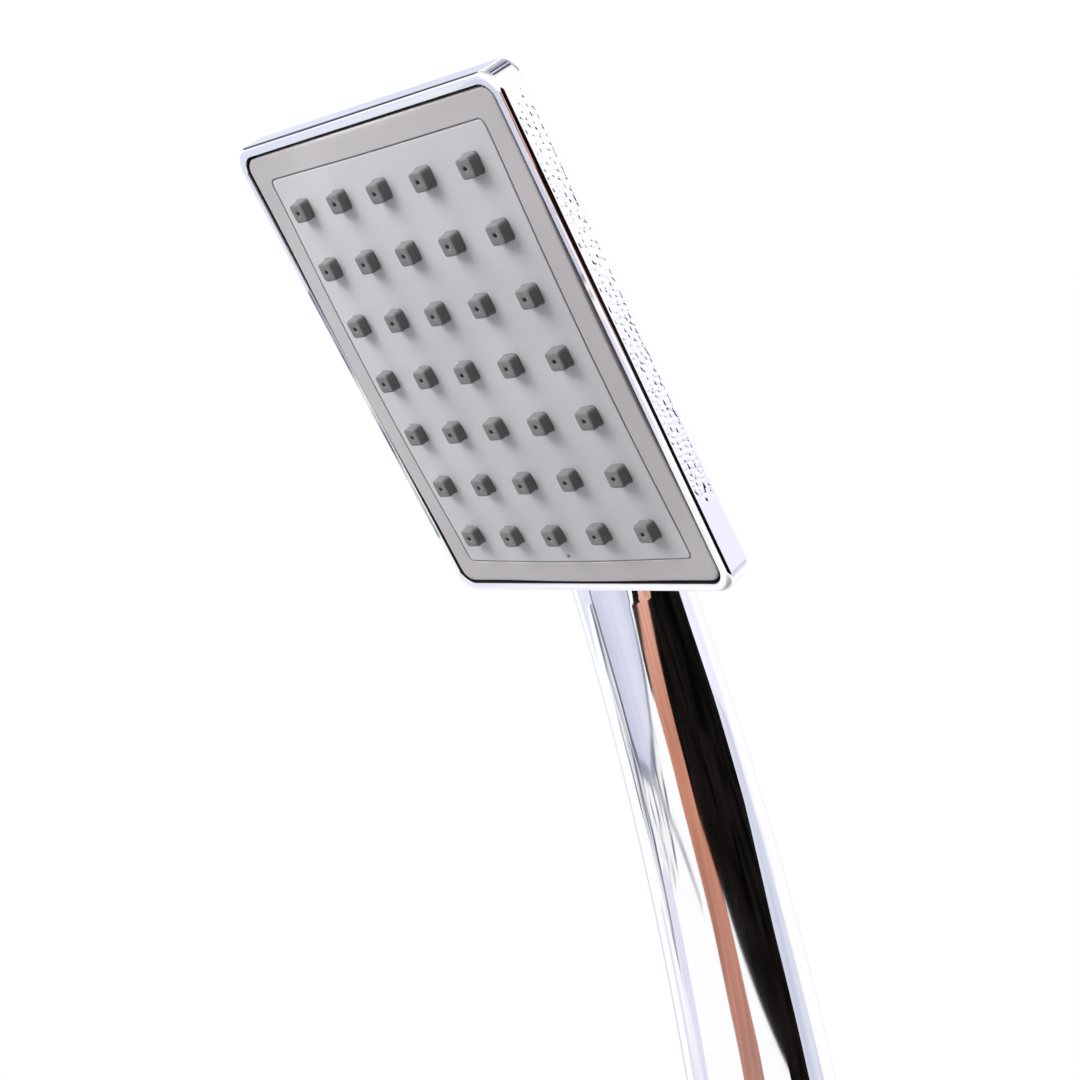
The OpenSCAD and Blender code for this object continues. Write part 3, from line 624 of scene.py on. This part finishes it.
# Face sheet of quads with square holes, a back sheet under it, and walls between them
def buildPlate():
    xs = plateLines(plate["w"], plate["panelW"], plate["pocketW"], nozzleX)
    ys = plateLines(plate["h"], plate["panelH"], plate["pocketH"], nozzleY)
    gate = nozzleY[0] + plate["gateY"]
    r, step = plate["gateR"], plate["gateStep"]
    xs = np.unique(np.concatenate([xs, np.arange(-r, r + step / 2, step)]))
    ys = np.unique(np.concatenate([ys, np.arange(gate - r, gate + r + step / 2, step)]))
    gx, gy = np.meshgrid(xs, ys, indexing="ij")
    x, y = roundCorners(gx, gy, plate["w"], plate["h"], plate["r"])
    top, panel, grooveShade = plateSurface(x, y)
    slack = plate["pocketSlack"]
    inPocket = (np.abs(x) <= plate["pocketW"] - slack) & (np.abs(y) <= plate["pocketH"] - slack)
    low = np.where(inPocket, plate["pocket"], plate["back"])
    midX, midY = (xs[1:] + xs[:-1]) / 2, (ys[1:] + ys[:-1]) / 2
    holeX = np.min(np.abs(midX[:, None] - np.array(nozzleX)), 1) < plate["hole"]
    holeY = np.min(np.abs(midY[:, None] - np.array(nozzleY)), 1) < plate["hole"]
    solid = ~(holeX[:, None] & holeY[None])
    nx, ny = len(xs), len(ys)
    number = np.arange(nx * ny).reshape(nx, ny)
    under = number + nx * ny
    faces = []
    padded = np.pad(solid, 1)
    for i, j in np.argwhere(solid):
        a, b, c, d = (i, j), (i + 1, j), (i + 1, j + 1), (i, j + 1)
        faces.append((number[a], number[b], number[c], number[d]))
        faces.append((under[d], under[c], under[b], under[a]))
        for (di, dj), p, q in (((0, -1), a, b), ((1, 0), b, c), ((0, 1), c, d), ((-1, 0), d, a)):
            if not padded[i + 1 + di, j + 1 + dj]:
                faces.append((number[q], number[p], under[p], under[q]))
    points = np.concatenate([np.stack([x, y, z], -1).reshape(-1, 3) for z in (top, low)])
    used = np.unique(np.array(faces))
    index = np.full(len(points), -1)
    index[used] = np.arange(len(used))
    obj = makeMesh("facePlate", toRow(points[used]), index[np.array(faces)])
    # Marks where the plate takes its panel tone and its painted groove shade
    for name, value in (("inPanel", panel < 0), ("inGrooveShade", grooveShade)):
        mark = obj.data.attributes.new(name, "FLOAT", "POINT")
        mark.data.foreach_set("value", np.tile(value.ravel(), 2)[used].astype(np.float32))
    sharpen(obj, plate["sharp"])
    return obj


facePlate = buildPlate()
setMaterial(facePlate, sprayPlate)
print("plate", len(facePlate.data.polygons))

# Nozzles
nozzle = {"half": 1.85, "r": 0.6, "height": 2.0, "root": -2.6, "round": 0.36, "taper": 0.04, "across": 5,
          "along": 7, "foot": ((-0.3, 0.32), (0.0, 0.22), (0.12, 0.09), (0.3, 0.02)), "innerR": 0.3,
          "cornerEase": 0.6, "topHalf": 0.95, "topR": 0.6, "topRise": 0.02, "jet": 0.42,
          "jetRings": ((0.12, 0.01), (0.03, -0.03), (0, -0.12), (0, -2.2)), "around": 32, "sharp": 50}


# Square with rounded corners, its points spaced evenly by angle
def squareRing(half, r):
    out, count = [], nozzle["around"]
    for k in range(count):
        a = 2 * math.pi * (k + 0.5) / count
        c, s = math.cos(a), math.sin(a)
        lo, hi = 0.0, half * 1.5
        for _ in range(40):
            mid = (lo + hi) / 2
            dx, dy = max(abs(mid * c) - half + r, 0), max(abs(mid * s) - half + r, 0)
            lo, hi = (mid, hi) if math.hypot(dx, dy) < r else (lo, mid)
        out.append((lo * c, lo * s))
    return np.array(out)


def buildNozzle():
    h, e, half, corner = nozzle["height"], nozzle["round"], nozzle["half"], nozzle["r"]
    rings = [(squareRing(half, corner), nozzle["root"])]
    for z, out in nozzle["foot"]:
        rings.append((squareRing(half + out, corner + out), z))
    for a in np.linspace(0, math.pi / 2, 6):
        inset = nozzle["taper"] + e * (1 - math.cos(a))
        r = max(corner - inset * nozzle["cornerEase"], nozzle["innerR"])
        rings.append((squareRing(half - inset, r), h - e + e * math.sin(a)))
    rings.append((squareRing(nozzle["topHalf"], nozzle["topR"]), h + nozzle["topRise"]))
    for wider, up in nozzle["jetRings"]:
        r = nozzle["jet"] + wider
        rings.append((squareRing(r, r), h + up))
    points, faces, count = [], [], nozzle["around"]
    for ring, z in rings:
        points += [(x, y, z) for x, y in ring]
    for k in range(len(rings) - 1):
        for i in range(count):
            j = (i + 1) % count
            faces.append((k * count + i, k * count + j, (k + 1) * count + j, (k + 1) * count + i))
    faces.append(tuple(range(count - 1, -1, -1)))
    faces.append(tuple((len(rings) - 1) * count + i for i in range(count)))
    obj = makeMesh("nozzleShape", np.array(points), faces)
    sharpen(obj, nozzle["sharp"])
    return obj


# Grid of nozzles, lifted to the plate's crown
def nozzleNodes():
    tree = bpy.data.node_groups.new("nozzleField", "GeometryNodeTree")
    face = tree.interface
    face.new_socket("Geometry", in_out="INPUT", socket_type="NodeSocketGeometry")
    for name, kind in (("Nozzle", "NodeSocketObject"), ("Across", "NodeSocketInt"),
                       ("Along", "NodeSocketInt"), ("Pitch across", "NodeSocketFloat"),
                       ("Pitch along", "NodeSocketFloat"),
                       ("Crown", "NodeSocketFloat"), ("Curve across", "NodeSocketFloat"),
                       ("Curve along", "NodeSocketFloat"), ("Finish", "NodeSocketMaterial")):
        face.new_socket(name, in_out="INPUT", socket_type=kind)
    face.new_socket("Geometry", in_out="OUTPUT", socket_type="NodeSocketGeometry")
    nodes, links = tree.nodes, tree.links
    given, result = nodes.new("NodeGroupInput"), nodes.new("NodeGroupOutput")

    def calc(op, a, b=None):
        n = nodes.new("ShaderNodeMath")
        n.operation = op
        for k, v in enumerate((a, b)):
            if isinstance(v, (int, float)):
                n.inputs[k].default_value = v
            elif v is not None:
                links.new(v, n.inputs[k])
        return n.outputs[0]

    grid = nodes.new("GeometryNodeMeshGrid")
    links.new(given.outputs["Across"], grid.inputs["Vertices X"])
    links.new(given.outputs["Along"], grid.inputs["Vertices Y"])
    links.new(calc("MULTIPLY", calc("SUBTRACT", given.outputs["Across"], 1), given.outputs["Pitch across"]),
              grid.inputs["Size X"])
    links.new(calc("MULTIPLY", calc("SUBTRACT", given.outputs["Along"], 1), given.outputs["Pitch along"]),
              grid.inputs["Size Y"])
    where, split = nodes.new("GeometryNodeInputPosition"), nodes.new("ShaderNodeSeparateXYZ")
    links.new(where.outputs[0], split.inputs[0])
    bowX = calc("DIVIDE", calc("MULTIPLY", split.outputs[0], split.outputs[0]),
                calc("MULTIPLY", given.outputs["Curve across"], 2.0))
    bowY = calc("DIVIDE", calc("MULTIPLY", split.outputs[1], split.outputs[1]),
                calc("MULTIPLY", given.outputs["Curve along"], 2.0))
    height = calc("SUBTRACT", calc("SUBTRACT", given.outputs["Crown"], bowX), bowY)
    join, move = nodes.new("ShaderNodeCombineXYZ"), nodes.new("GeometryNodeSetPosition")
    links.new(height, join.inputs[2])
    links.new(grid.outputs["Mesh"], move.inputs["Geometry"])
    links.new(join.outputs[0], move.inputs["Offset"])
    shape = nodes.new("GeometryNodeObjectInfo")
    links.new(given.outputs["Nozzle"], shape.inputs["Object"])
    put = nodes.new("GeometryNodeInstanceOnPoints")
    links.new(move.outputs[0], put.inputs["Points"])
    links.new(shape.outputs["Geometry"], put.inputs["Instance"])
    real, paint = nodes.new("GeometryNodeRealizeInstances"), nodes.new("GeometryNodeSetMaterial")
    links.new(put.outputs[0], real.inputs[0])
    links.new(real.outputs[0], paint.inputs["Geometry"])
    links.new(given.outputs["Finish"], paint.inputs["Material"])
    links.new(paint.outputs[0], result.inputs[0])
    return tree


def growNozzles():
    shape = buildNozzle()
    carrier = makeMesh("nozzleCarrier", np.zeros((1, 3)), [])
    mod = carrier.modifiers.new("field", "NODES")
    mod.node_group = nozzleNodes()
    values = {"Nozzle": shape, "Across": nozzle["across"], "Along": nozzle["along"],
              "Pitch across": plate["pitchX"] * mm, "Pitch along": plate["pitchY"] * mm,
              "Crown": plate["crown"] * mm, "Curve across": plate["rx"] * mm,
              "Curve along": plate["ry"] * mm, "Finish": rubber}
    for item in mod.node_group.interface.items_tree:
        if item.in_out == "INPUT" and item.name in values:
            mod[item.identifier] = values[item.name]
    bpy.context.view_layer.update()
    view = bpy.context.evaluated_depsgraph_get()
    mesh = bpy.data.meshes.new_from_object(carrier.evaluated_get(view))
    obj = bpy.data.objects.new("nozzles", mesh)
    bpy.context.scene.collection.objects.link(obj)
    co = np.zeros(len(mesh.vertices) * 3)
    mesh.vertices.foreach_get("co", co)
    mesh.vertices.foreach_set("co", (toRow(co.reshape(-1, 3) / mm) * mm).ravel())
    mesh.update()
    bpy.data.objects.remove(carrier)
    bpy.data.objects.remove(shape)
    return obj


nozzles = growNozzles()


matSlab = {"w": 28.8, "h": 39.8, "r": 2.8, "low": -3.2, "high": -1.6, "sharp": 40}


def buildMatBase():
    hx, hy, r, outline = matSlab["w"], matSlab["h"], matSlab["r"], []
    for kx, ky, a0 in ((1, 1, 0), (-1, 1, 90), (-1, -1, 180), (1, -1, 270)):
        for a in np.radians(np.linspace(a0, a0 + 90, 9)):
            outline.append((kx * (hx - r) + r * math.cos(a), ky * (hy - r) + r * math.sin(a)))
    n = len(outline)
    points = [(x, y, z) for z in (matSlab["low"], matSlab["high"]) for x, y in outline]
    faces = [tuple(range(n - 1, -1, -1)), tuple(range(n, 2 * n))]
    faces += [(i, (i + 1) % n, n + (i + 1) % n, n + i) for i in range(n)]
    obj = makeMesh("nozzleMatBase", toRow(np.array(points)), faces)
    sharpen(obj, matSlab["sharp"])
    return obj


matBase = buildMatBase()
setMaterial(matBase, rubber)
print("nozzles", len(nozzles.data.polygons))

# Inlet
inlet = {"major": 10.4775, "minor": 9.32, "pitch": 1.814, "threadEnd": 10.4, "threadStep": 0.13,
         "ridge": (0.09, 0.42), "runOut": (9.2, 10.3), "lead": (0.9, 1.0), "leadFloor": 0.1,
         "undercut": 0.5, "bed": 11.0, "collarR": 12.0, "collarTop": 12.2, "collarLow": 0.3,
         "collarEdge": 0.2, "r": 10.5, "top": 38.0, "topEdge": 0.4, "ringZ": 30.0, "ringT": 1.3,
         "ringR": 9.3, "round": 96, "sharp": 40,
         "bore": ((4.1, 38.0), (4.1, 33.5), (5.0, 33.5), (5.0, 32.5), (4.1, 32.5), (4.1, 26.0), (3.0, 26.0),
                  (3.0, 24.0), (5.5, 24.0), (5.5, 22.0), (7.5, 22.0), (7.5, 2.4), (8.2, 2.4), (8.2, 0.25),
                  (8.45, 0.0))}


def buildInlet():
    count, pitch = inlet["round"], inlet["pitch"]
    angle = 2 * math.pi * np.arange(count) / count
    rows = []
    leadDepth, leadEnd = inlet["lead"]
    for z in np.arange(0, inlet["threadEnd"], inlet["threadStep"]):
        phase = np.mod(z / pitch - angle / (2 * math.pi), 1)
        ridge = 1 - smoothStep(*inlet["ridge"], np.abs(phase - 0.5))
        runOut = smoothStep(*inlet["runOut"], z)
        depth = (inlet["major"] - inlet["minor"]) * (1 - ridge) * (1 - runOut)
        lead = leadDepth * (1 - smoothStep(0, leadEnd, z))
        least = inlet["minor"] - inlet["leadFloor"]
        rows.append((np.maximum(inlet["major"] - np.maximum(depth, lead), least), z))
    neck, bed = inlet["major"] - inlet["undercut"], inlet["bed"]
    collar, cap = inlet["collarR"], inlet["collarTop"]
    stem, ring, top, groove = inlet["r"], inlet["ringR"], inlet["top"], inlet["ringT"] / 2
    low, high = inlet["ringZ"] - groove, inlet["ringZ"] + groove
    for r, z in ((neck, bed - inlet["undercut"]), (neck, bed), (collar - inlet["collarLow"], bed),
                 (collar, bed + inlet["collarLow"]), (collar, cap - inlet["collarEdge"]),
                 (collar - inlet["collarEdge"], cap), (stem, cap), (stem, low), (ring, low), (ring, high),
                 (stem, high), (stem, top - inlet["topEdge"]), (stem - inlet["topEdge"], top),
                 *inlet["bore"]):
        rows.append((np.full(count, r), z))
    points = np.concatenate([np.stack([r * np.cos(angle), r * np.sin(angle), np.full(count, z)], -1)
                             for r, z in rows])
    n = len(rows)
    faces = [(k * count + i, k * count + (i + 1) % count, ((k + 1) % n) * count + (i + 1) % count,
              ((k + 1) % n) * count + i) for k in range(n) for i in range(count)]
    obj = makeMesh("inletConnector", points, faces)
    sharpen(obj, inlet["sharp"])
    return obj


connector = buildInlet()
setMaterial(connector, platedInlet)
print("inlet", len(connector.data.polygons))

# Valve spring
spring = {"turns": 5, "steps": 36, "around": 10, "wire": 0.25}


# Coil between its cage end and its poppet end
def buildSpring():
    low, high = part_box("check_valve_spring")
    wire, steps, around = spring["wire"], spring["turns"] * spring["steps"], spring["around"]
    r, z0, z1 = high.x / mm - wire, low.z / mm + wire, high.z / mm - wire
    t = np.linspace(0, 1, steps + 1)[:, None]
    turn = 2 * math.pi * spring["turns"] * t
    a = 2 * math.pi * np.arange(around)[None] / around
    out = r + wire * np.cos(a)
    points = np.stack([out * np.cos(turn), out * np.sin(turn), z0 + (z1 - z0) * t + wire * np.sin(a)], -1)
    faces = [(k * around + i, k * around + (i + 1) % around, (k + 1) * around + (i + 1) % around,
              (k + 1) * around + i)[::-1] for k in range(steps) for i in range(around)]
    faces += [tuple(range(around)), tuple(steps * around + i for i in range(around))[::-1]]
    obj = makeMesh("valveSpring", points.reshape(-1, 3), faces)
    return obj, Vector((0, 0, high.z)), Vector((0, 0, low.z))


coil, cageEnd, poppetEnd = buildSpring()
setMaterial(coil, springSteel)
print("spring", len(coil.data.polygons))

# What moves with what
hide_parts("body_shell")
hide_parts("face_plate")
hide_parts("nozzle_mat")
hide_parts("inlet_connector")
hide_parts("check_valve_spring")
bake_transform(coil)
for obj, slotName in ((shell, "chrome"), (band, "chrome"), (facePlate, "spray_plate"),
                      (nozzles, "nozzle_rubber"), (matBase, "nozzle_rubber"), (connector, "inlet_chrome")):
    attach(obj, "handset")

slotFinish = {"chrome": chrome, "spray_plate": sprayPlate, "nozzle_rubber": rubber,
              "white_plastic": whitePlastic, "gasket_rubber": gasketRubber, "screw_steel": screwSteel,
              "tube_plastic": tubePlastic, "inlet_chrome": platedInlet, "valve_plastic": valvePlastic,
              "valve_white": valveWhite, "regulator_plastic": regulatorPlastic, "spring_steel": springSteel,
              "mesh_steel": meshSteel}
for part in frame["record"]["subparts"]:
    setMaterial(frame["nodes"][part["node"]], slotFinish[part["material_slot"]])
print("pieces joined to the frame")

# Studio
studio = {"plain": 1.06, "lowHigh": (0.36, 0.76), "leftRight": (1.85, 0.15), "radius": 0.8,
          "centre": (0.0, -0.03), "cardSteps": 40, "cardRows": 4, "floorHalf": 3000, "floorZ": -1,
          "poles": ((0.0, 0.35), (1.0, 0.5), (0.07, 0.6), (0.14, 1.0), (0.90, 1.0), (0.96, 0.7))}
floorMesh = makeMesh("floor", np.array([(x * studio["floorHalf"], y * studio["floorHalf"], studio["floorZ"])
                                        for x, y in ((-1, -1), (1, -1), (1, 1), (-1, 1))]), [(0, 1, 2, 3)])


def emission(name, colour, strength):
    mat = bpy.data.materials.new(name)
    mat.use_nodes = True
    tree = mat.node_tree
    tree.nodes.remove(tree.nodes["Principled BSDF"])
    glow = tree.nodes.new("ShaderNodeEmission")
    glow.inputs["Color"].default_value = (*colour, 1)
    glow.inputs["Strength"].default_value = strength
    tree.links.new(glow.outputs[0], tree.nodes["Material Output"].inputs["Surface"])
    return mat


setMaterial(floorMesh, emission("floorWhite", (1, 1, 1), 1.0))
floorMesh.visible_glossy = False
floorMesh.visible_diffuse = False
floorMesh.visible_shadow = False


# Light that fills every direction. Matt surfaces get more from above and the left, and polished ones
# see it dimmer straight above and below
def makeWorld():
    world = bpy.data.worlds.new("studio")
    bpy.context.scene.world = world
    world.use_nodes = True
    tree = world.node_tree
    nodes, links = tree.nodes, tree.links

    def calc(op, a, b):
        n = nodes.new("ShaderNodeMath")
        n.operation = op
        for k, v in enumerate((a, b)):
            if isinstance(v, float):
                n.inputs[k].default_value = v
            else:
                links.new(v, n.inputs[k])
        return n.outputs[0]

    def across(value, low, high):
        n = nodes.new("ShaderNodeMapRange")
        n.inputs["From Min"].default_value = -1
        n.inputs["To Min"].default_value = low
        n.inputs["To Max"].default_value = high
        links.new(value, n.inputs["Value"])
        return n.outputs["Result"]

    coord, split = nodes.new("ShaderNodeTexCoord"), nodes.new("ShaderNodeSeparateXYZ")
    links.new(coord.outputs["Generated"], split.inputs[0])
    soft = calc("MULTIPLY", across(split.outputs["Z"], *studio["lowHigh"]),
                across(split.outputs["X"], *studio["leftRight"]))
    poles = nodes.new("ShaderNodeFloatCurve")
    curve = poles.mapping.curves[0]
    for k, (at, level) in enumerate(studio["poles"]):
        point = curve.points[k] if k < 2 else curve.points.new(at, level)
        point.location, point.handle_type = (at, level), "VECTOR"
    poles.mapping.update()
    links.new(across(split.outputs["Z"], 0.0, 1.0), poles.inputs["Value"])
    rays, strength = nodes.new("ShaderNodeLightPath"), studio["plain"]
    for kind, level in (("Is Glossy Ray", calc("MULTIPLY", poles.outputs[0], strength)),
                        ("Is Diffuse Ray", soft)):
        mix = nodes.new("ShaderNodeMix")
        links.new(rays.outputs[kind], mix.inputs["Factor"])
        if isinstance(strength, float):
            mix.inputs[2].default_value = strength
        else:
            links.new(strength, mix.inputs[2])
        links.new(level, mix.inputs[3])
        strength = mix.outputs[0]
    nodes["Background"].inputs["Color"].default_value = (1, 1, 1, 1)
    links.new(strength, nodes["Background"].inputs["Strength"])


# A card bent round the object. Each row has a height and the headings of the card's two ends there,
# 0 in front and 90 at the right
def card(name, rows, mat, back=0.0):
    heights = [r[0] for r in rows]
    zs = np.unique(np.concatenate([np.linspace(a, b, studio["cardRows"])
                                   for a, b in zip(heights, heights[1:])]))
    table = np.array(sorted(rows), float)
    left, right = np.interp(zs, table[:, 0], table[:, 1]), np.interp(zs, table[:, 0], table[:, 2])
    steps, radius = studio["cardSteps"], studio["radius"] + back
    points = []
    for z, a, b in zip(zs, left, right):
        for heading in np.radians(np.linspace(a, b, steps + 1)):
            points.append((studio["centre"][0] + radius * math.sin(heading),
                           studio["centre"][1] - radius * math.cos(heading), z))
    wide = steps + 1
    faces = [(k * wide + i, k * wide + i + 1, (k + 1) * wide + i + 1, (k + 1) * wide + i)
             for k in range(len(zs) - 1) for i in range(steps)]
    obj = makeMesh(name, np.array(points) / mm, faces)
    setMaterial(obj, mat)
    obj.visible_camera = False
    obj.visible_shadow = False
    return obj


# Emission that wanders between two colours
def mottled(name, dark, light, scale, stretch=(1, 1, 1), edges=(0.35, 0.65), detail=3.0):
    mat = emission(name, light, 1.0)
    tree = mat.node_tree
    glow = next(n for n in tree.nodes if n.type == "EMISSION")
    coord = tree.nodes.new("ShaderNodeTexCoord")
    place = tree.nodes.new("ShaderNodeMapping")
    place.inputs["Scale"].default_value = stretch
    tree.links.new(coord.outputs["Object"], place.inputs["Vector"])
    value = noise(tree, place.outputs["Vector"], scale, detail)
    tree.links.new(ramp(tree, value, [(edges[0], dark), (edges[1], light)]), glow.inputs["Color"])
    return mat


copper = {"low": -0.33, "high": -0.15,
          "tones": [(0.1, (0.48, 0.25, 0.21)), (0.6, (0.74, 0.32, 0.21)), (0.95, (0.92, 0.50, 0.39))]}


# Warm board that is pale at the top and browner lower down
def copperBoard():
    mat = mottled("copperBoard", (0.70, 0.68, 0.66), (1.0, 1.0, 1.0), 9, (1, 1, 3))
    tree = mat.node_tree
    glow = next(n for n in tree.nodes if n.type == "EMISSION")
    streaks = glow.inputs["Color"].links[0].from_socket
    coord, split = tree.nodes.new("ShaderNodeTexCoord"), tree.nodes.new("ShaderNodeSeparateXYZ")
    tree.links.new(coord.outputs["Object"], split.inputs[0])
    height = tree.nodes.new("ShaderNodeMapRange")
    height.inputs["From Min"].default_value = copper["low"]
    height.inputs["From Max"].default_value = copper["high"]
    tree.links.new(split.outputs["Z"], height.inputs["Value"])
    tone = ramp(tree, height.outputs["Result"], copper["tones"])
    mix = tree.nodes.new("ShaderNodeMix")
    mix.data_type = "RGBA"
    mix.blend_type = "MULTIPLY"
    mix.inputs["Factor"].default_value = 1.0
    tree.links.new(tone, mix.inputs[6])
    tree.links.new(streaks, mix.inputs[7])
    tree.links.new(mix.outputs[2], glow.inputs["Color"])
    return mat


# The first card darkens the right side of matt surfaces. The others are what the chrome reflects
flag = card("sideFlag", [(-1.0, 45, 160), (1.2, 45, 160)],
            mottled("flagBoard", (0.0, 0.0, 0.0), (0.02, 0.02, 0.02), 3), 0.3)
flag.visible_glossy = False
card("topCard", [(0.36, -142, -106), (0.60, -142, -106), (0.95, -142, -110)],
     mottled("topBoard", (0.72, 0.76, 0.90), (0.86, 0.90, 1.0), 3))
card("topLine", [(0.62, -104, -62), (0.80, -106, -64), (1.3, -106, -64)],
     mottled("topLineBoard", (0.05, 0.06, 0.10), (0.22, 0.23, 0.31), 6))
card("rimCard", [(-0.10, -92, -34), (0.10, -92, -32), (0.40, -92, -34)],
     mottled("rimBoard", (0.74, 0.80, 0.94), (0.88, 0.91, 1.0), 4), 0.05)
card("rimCardLow", [(-0.62, -82, -46), (-0.24, -84, -46)],
     mottled("rimLowBoard", (0.80, 0.80, 0.94), (1.04, 1.04, 1.06), 5, (1, 1, 1), (0.42, 0.55)), 0.06)
card("cornerCard", [(0.72, 142, 224), (1.6, 142, 226), (3.6, 140, 228)],
     mottled("cornerBoard", (0.10, 0.10, 0.13), (0.66, 0.67, 0.82), 2.6, (1, 1, 0.6), (0.40, 0.50)), 0.02)
card("wallCard", [(-0.16, 116, 158), (0.02, 116, 158), (0.10, 118, 150)],
     mottled("wallBoard", (0.90, 0.885, 1.04), (0.96, 0.95, 1.06), 3), 0.03)
card("backCard", [(-0.60, -152, -110), (0.34, -152, -110)],
     mottled("backBoard", (0.62, 0.67, 0.84), (0.80, 0.84, 0.98), 4), 0.03)
card("blackCard", [(-0.33, 92, 125), (-0.292, 88, 123), (-0.281, 75, 122.5), (-0.269, 60, 122),
                   (-0.256, 45, 121.5), (-0.243, 34, 120.5), (-0.228, 22.5, 119.5),
                   (-0.206, 19.5, 118.2), (-0.196, 19.5, 118.5), (-0.183, 22, 119.5),
                   (-0.165, 29, 121), (-0.148, 36, 123), (-0.115, 39, 127), (-0.05, 43.5, 126),
                   (-0.005, 44, 118), (0.05, 46, 112), (0.15, 50, 108), (0.24, 58, 106), (0.30, 70, 100)],
     mottled("blackBoard", (0.001, 0.001, 0.001), (0.012, 0.009, 0.008), 7, (1, 1, 5)))
card("greyEdge", [(-0.16, 103, 121), (0.10, 102, 119), (0.30, 98, 112)],
     mottled("greyEdgeBoard", (0.12, 0.12, 0.17), (0.50, 0.50, 0.60), 6), 0.015)
card("copperCard", [(-0.03, 24, 47), (-0.10, 19, 42), (-0.148, 13, 38), (-0.165, 14, 33),
                    (-0.18, 5, 25), (-0.19, -4, 23), (-0.205, -4, 21), (-0.22, -1, 22), (-0.23, 0, 24),
                    (-0.245, 3.5, 35), (-0.26, 8, 38), (-0.275, 10, 41), (-0.29, 14, 45), (-0.33, 18, 49)],
     copperBoard(), 0.01)
card("darkEdge", [(-0.03, 12, 24), (-0.10, 8, 19), (-0.148, 3, 13), (-0.165, 2, 14), (-0.176, -2, 8),
                  (-0.186, -6, -1), (-0.196, -6.5, -3.5)],
     mottled("darkStrip", (0.005, 0.005, 0.006), (0.03, 0.03, 0.035), 9), -0.004)
card("paleCard", [(-0.03, -60, 0), (-0.12, -60, -3), (-0.165, -57, -5), (-0.178, -53, -8),
                  (-0.188, -44, -13), (-0.196, -38, -22)],
     mottled("lavenderBoard", (0.62, 0.64, 0.79), (0.78, 0.79, 0.92), 3), -0.004)
card("paleCardEdge", [(-0.06, -62, 3), (-0.12, -63, -1), (-0.165, -61, -3), (-0.18, -58, -5.5),
                      (-0.190, -50, -8), (-0.200, -42, -18), (-0.204, -36, -26)],
     mottled("darkOutline", (0.10, 0.11, 0.14), (0.34, 0.35, 0.43), 8), 0.0)
card("foldShade", [(-0.085, -66, -58), (-0.11, -74, -58), (-0.14, -78, -57), (-0.165, -79, -55),
                   (-0.18, -76, -50), (-0.19, -74, -56), (-0.21, -72, -60), (-0.235, -69, -62),
                   (-0.26, -64, -58)],
     mottled("foldBoard", (0.16, 0.18, 0.24), (0.96, 0.97, 1.0), 14, (1, 1, 2.2), (0.36, 0.62)), 0.004)
card("crumple", [(-0.186, -56, -20), (-0.205, -60, -16), (-0.22, -52, -20), (-0.235, -46, -30)],
     mottled("crumpleBoard", (0.14, 0.16, 0.21), (1.0, 1.0, 1.0), 17, (1, 1, 4.5), (0.36, 0.5), 1.5), 0.008)
card("wire", [(-0.19, -47, -43), (-0.2, -38, -34), (-0.216, -27, -23), (-0.231, -16, -11.5),
              (-0.247, -4, 0)],
     mottled("wireGrey", (0.34, 0.35, 0.40), (0.55, 0.55, 0.58), 9), -0.008)
card("rightCard", [(-0.36, 122, 160), (-0.29, 119, 156), (-0.20, 114, 153), (-0.10, 120, 151),
                   (-0.04, 130, 150)],
     mottled("rightBoard", (0.62, 0.65, 0.78), (0.80, 0.82, 0.92), 3), 0.02)


strip = {"headings": (40, 104, 24), "up": (-90, 62, 12), "reach": 100.0, "behind": -0.35}


# Dark strip held beside the right edge of the rim, at the same distance all along it
def edgeStrip():
    headings, reach = np.radians(np.linspace(*strip["headings"])), strip["reach"]
    across, up = np.meshgrid(headings, np.linspace(*strip["up"]), indexing="ij")
    level = np.zeros_like(across)
    start = toRow(np.stack([level + halfW, up, level], -1))
    swing = reach * np.stack([np.sin(across), -np.cos(across), level + strip["behind"]], -1)
    n, m = across.shape
    faces = [(i * m + j, (i + 1) * m + j, (i + 1) * m + j + 1, i * m + j + 1)
             for i in range(n - 1) for j in range(m - 1)]
    obj = makeMesh("edgeStrip", (start + swing).reshape(-1, 3), faces)
    setMaterial(obj, mottled("edgeBoard", (0.001, 0.001, 0.001), (0.012, 0.010, 0.009), 20))
    obj.visible_camera = obj.visible_shadow = obj.visible_diffuse = False


edgeStrip()
makeWorld()

softLamp = {"size": 1.0, "energy": 21.0, "from": (-0.36, -0.60, 0.71), "distance": 1.2,
            "over": (0, -0.03, 0.2)}
shot = {"at": (0.252, -0.24341, 0.22534), "right": (0.6565, 0.7293, -0.1926),
        "away": (0.7542, -0.6396, 0.1486), "lens": 61.01, "sensor": 36, "clip": (0.01, 50)}

# Large soft lamp above and to the left, for the matt parts only
lamp = bpy.data.objects.new("softLamp", bpy.data.lights.new("softLamp", "AREA"))
lamp.data.shape = "DISK"
lamp.data.size = softLamp["size"]
lamp.data.energy = softLamp["energy"]
aim = Vector(softLamp["from"]).normalized()
lamp.matrix_world = Matrix.LocRotScale(aim * softLamp["distance"] + Vector(softLamp["over"]),
                                       aim.to_track_quat("Z", "Y"), None)
lamp.visible_glossy = False
bpy.context.scene.collection.objects.link(lamp)

camera = bpy.data.objects.new("camera", bpy.data.cameras.new("camera"))
bpy.context.scene.collection.objects.link(camera)
right = Vector(shot["right"]).normalized()
away = Vector(shot["away"])
away = (away - right * away.dot(right)).normalized()
up = away.cross(right)
camera.matrix_world = Matrix.LocRotScale(Vector(shot["at"]), Matrix((right, up, away)).transposed(), None)
camera.data.lens = shot["lens"]
camera.data.sensor_width = shot["sensor"]
camera.data.clip_start, camera.data.clip_end = shot["clip"]
bpy.context.scene.camera = camera
bpy.context.scene.view_settings.view_transform = "Standard"
print("studio set")
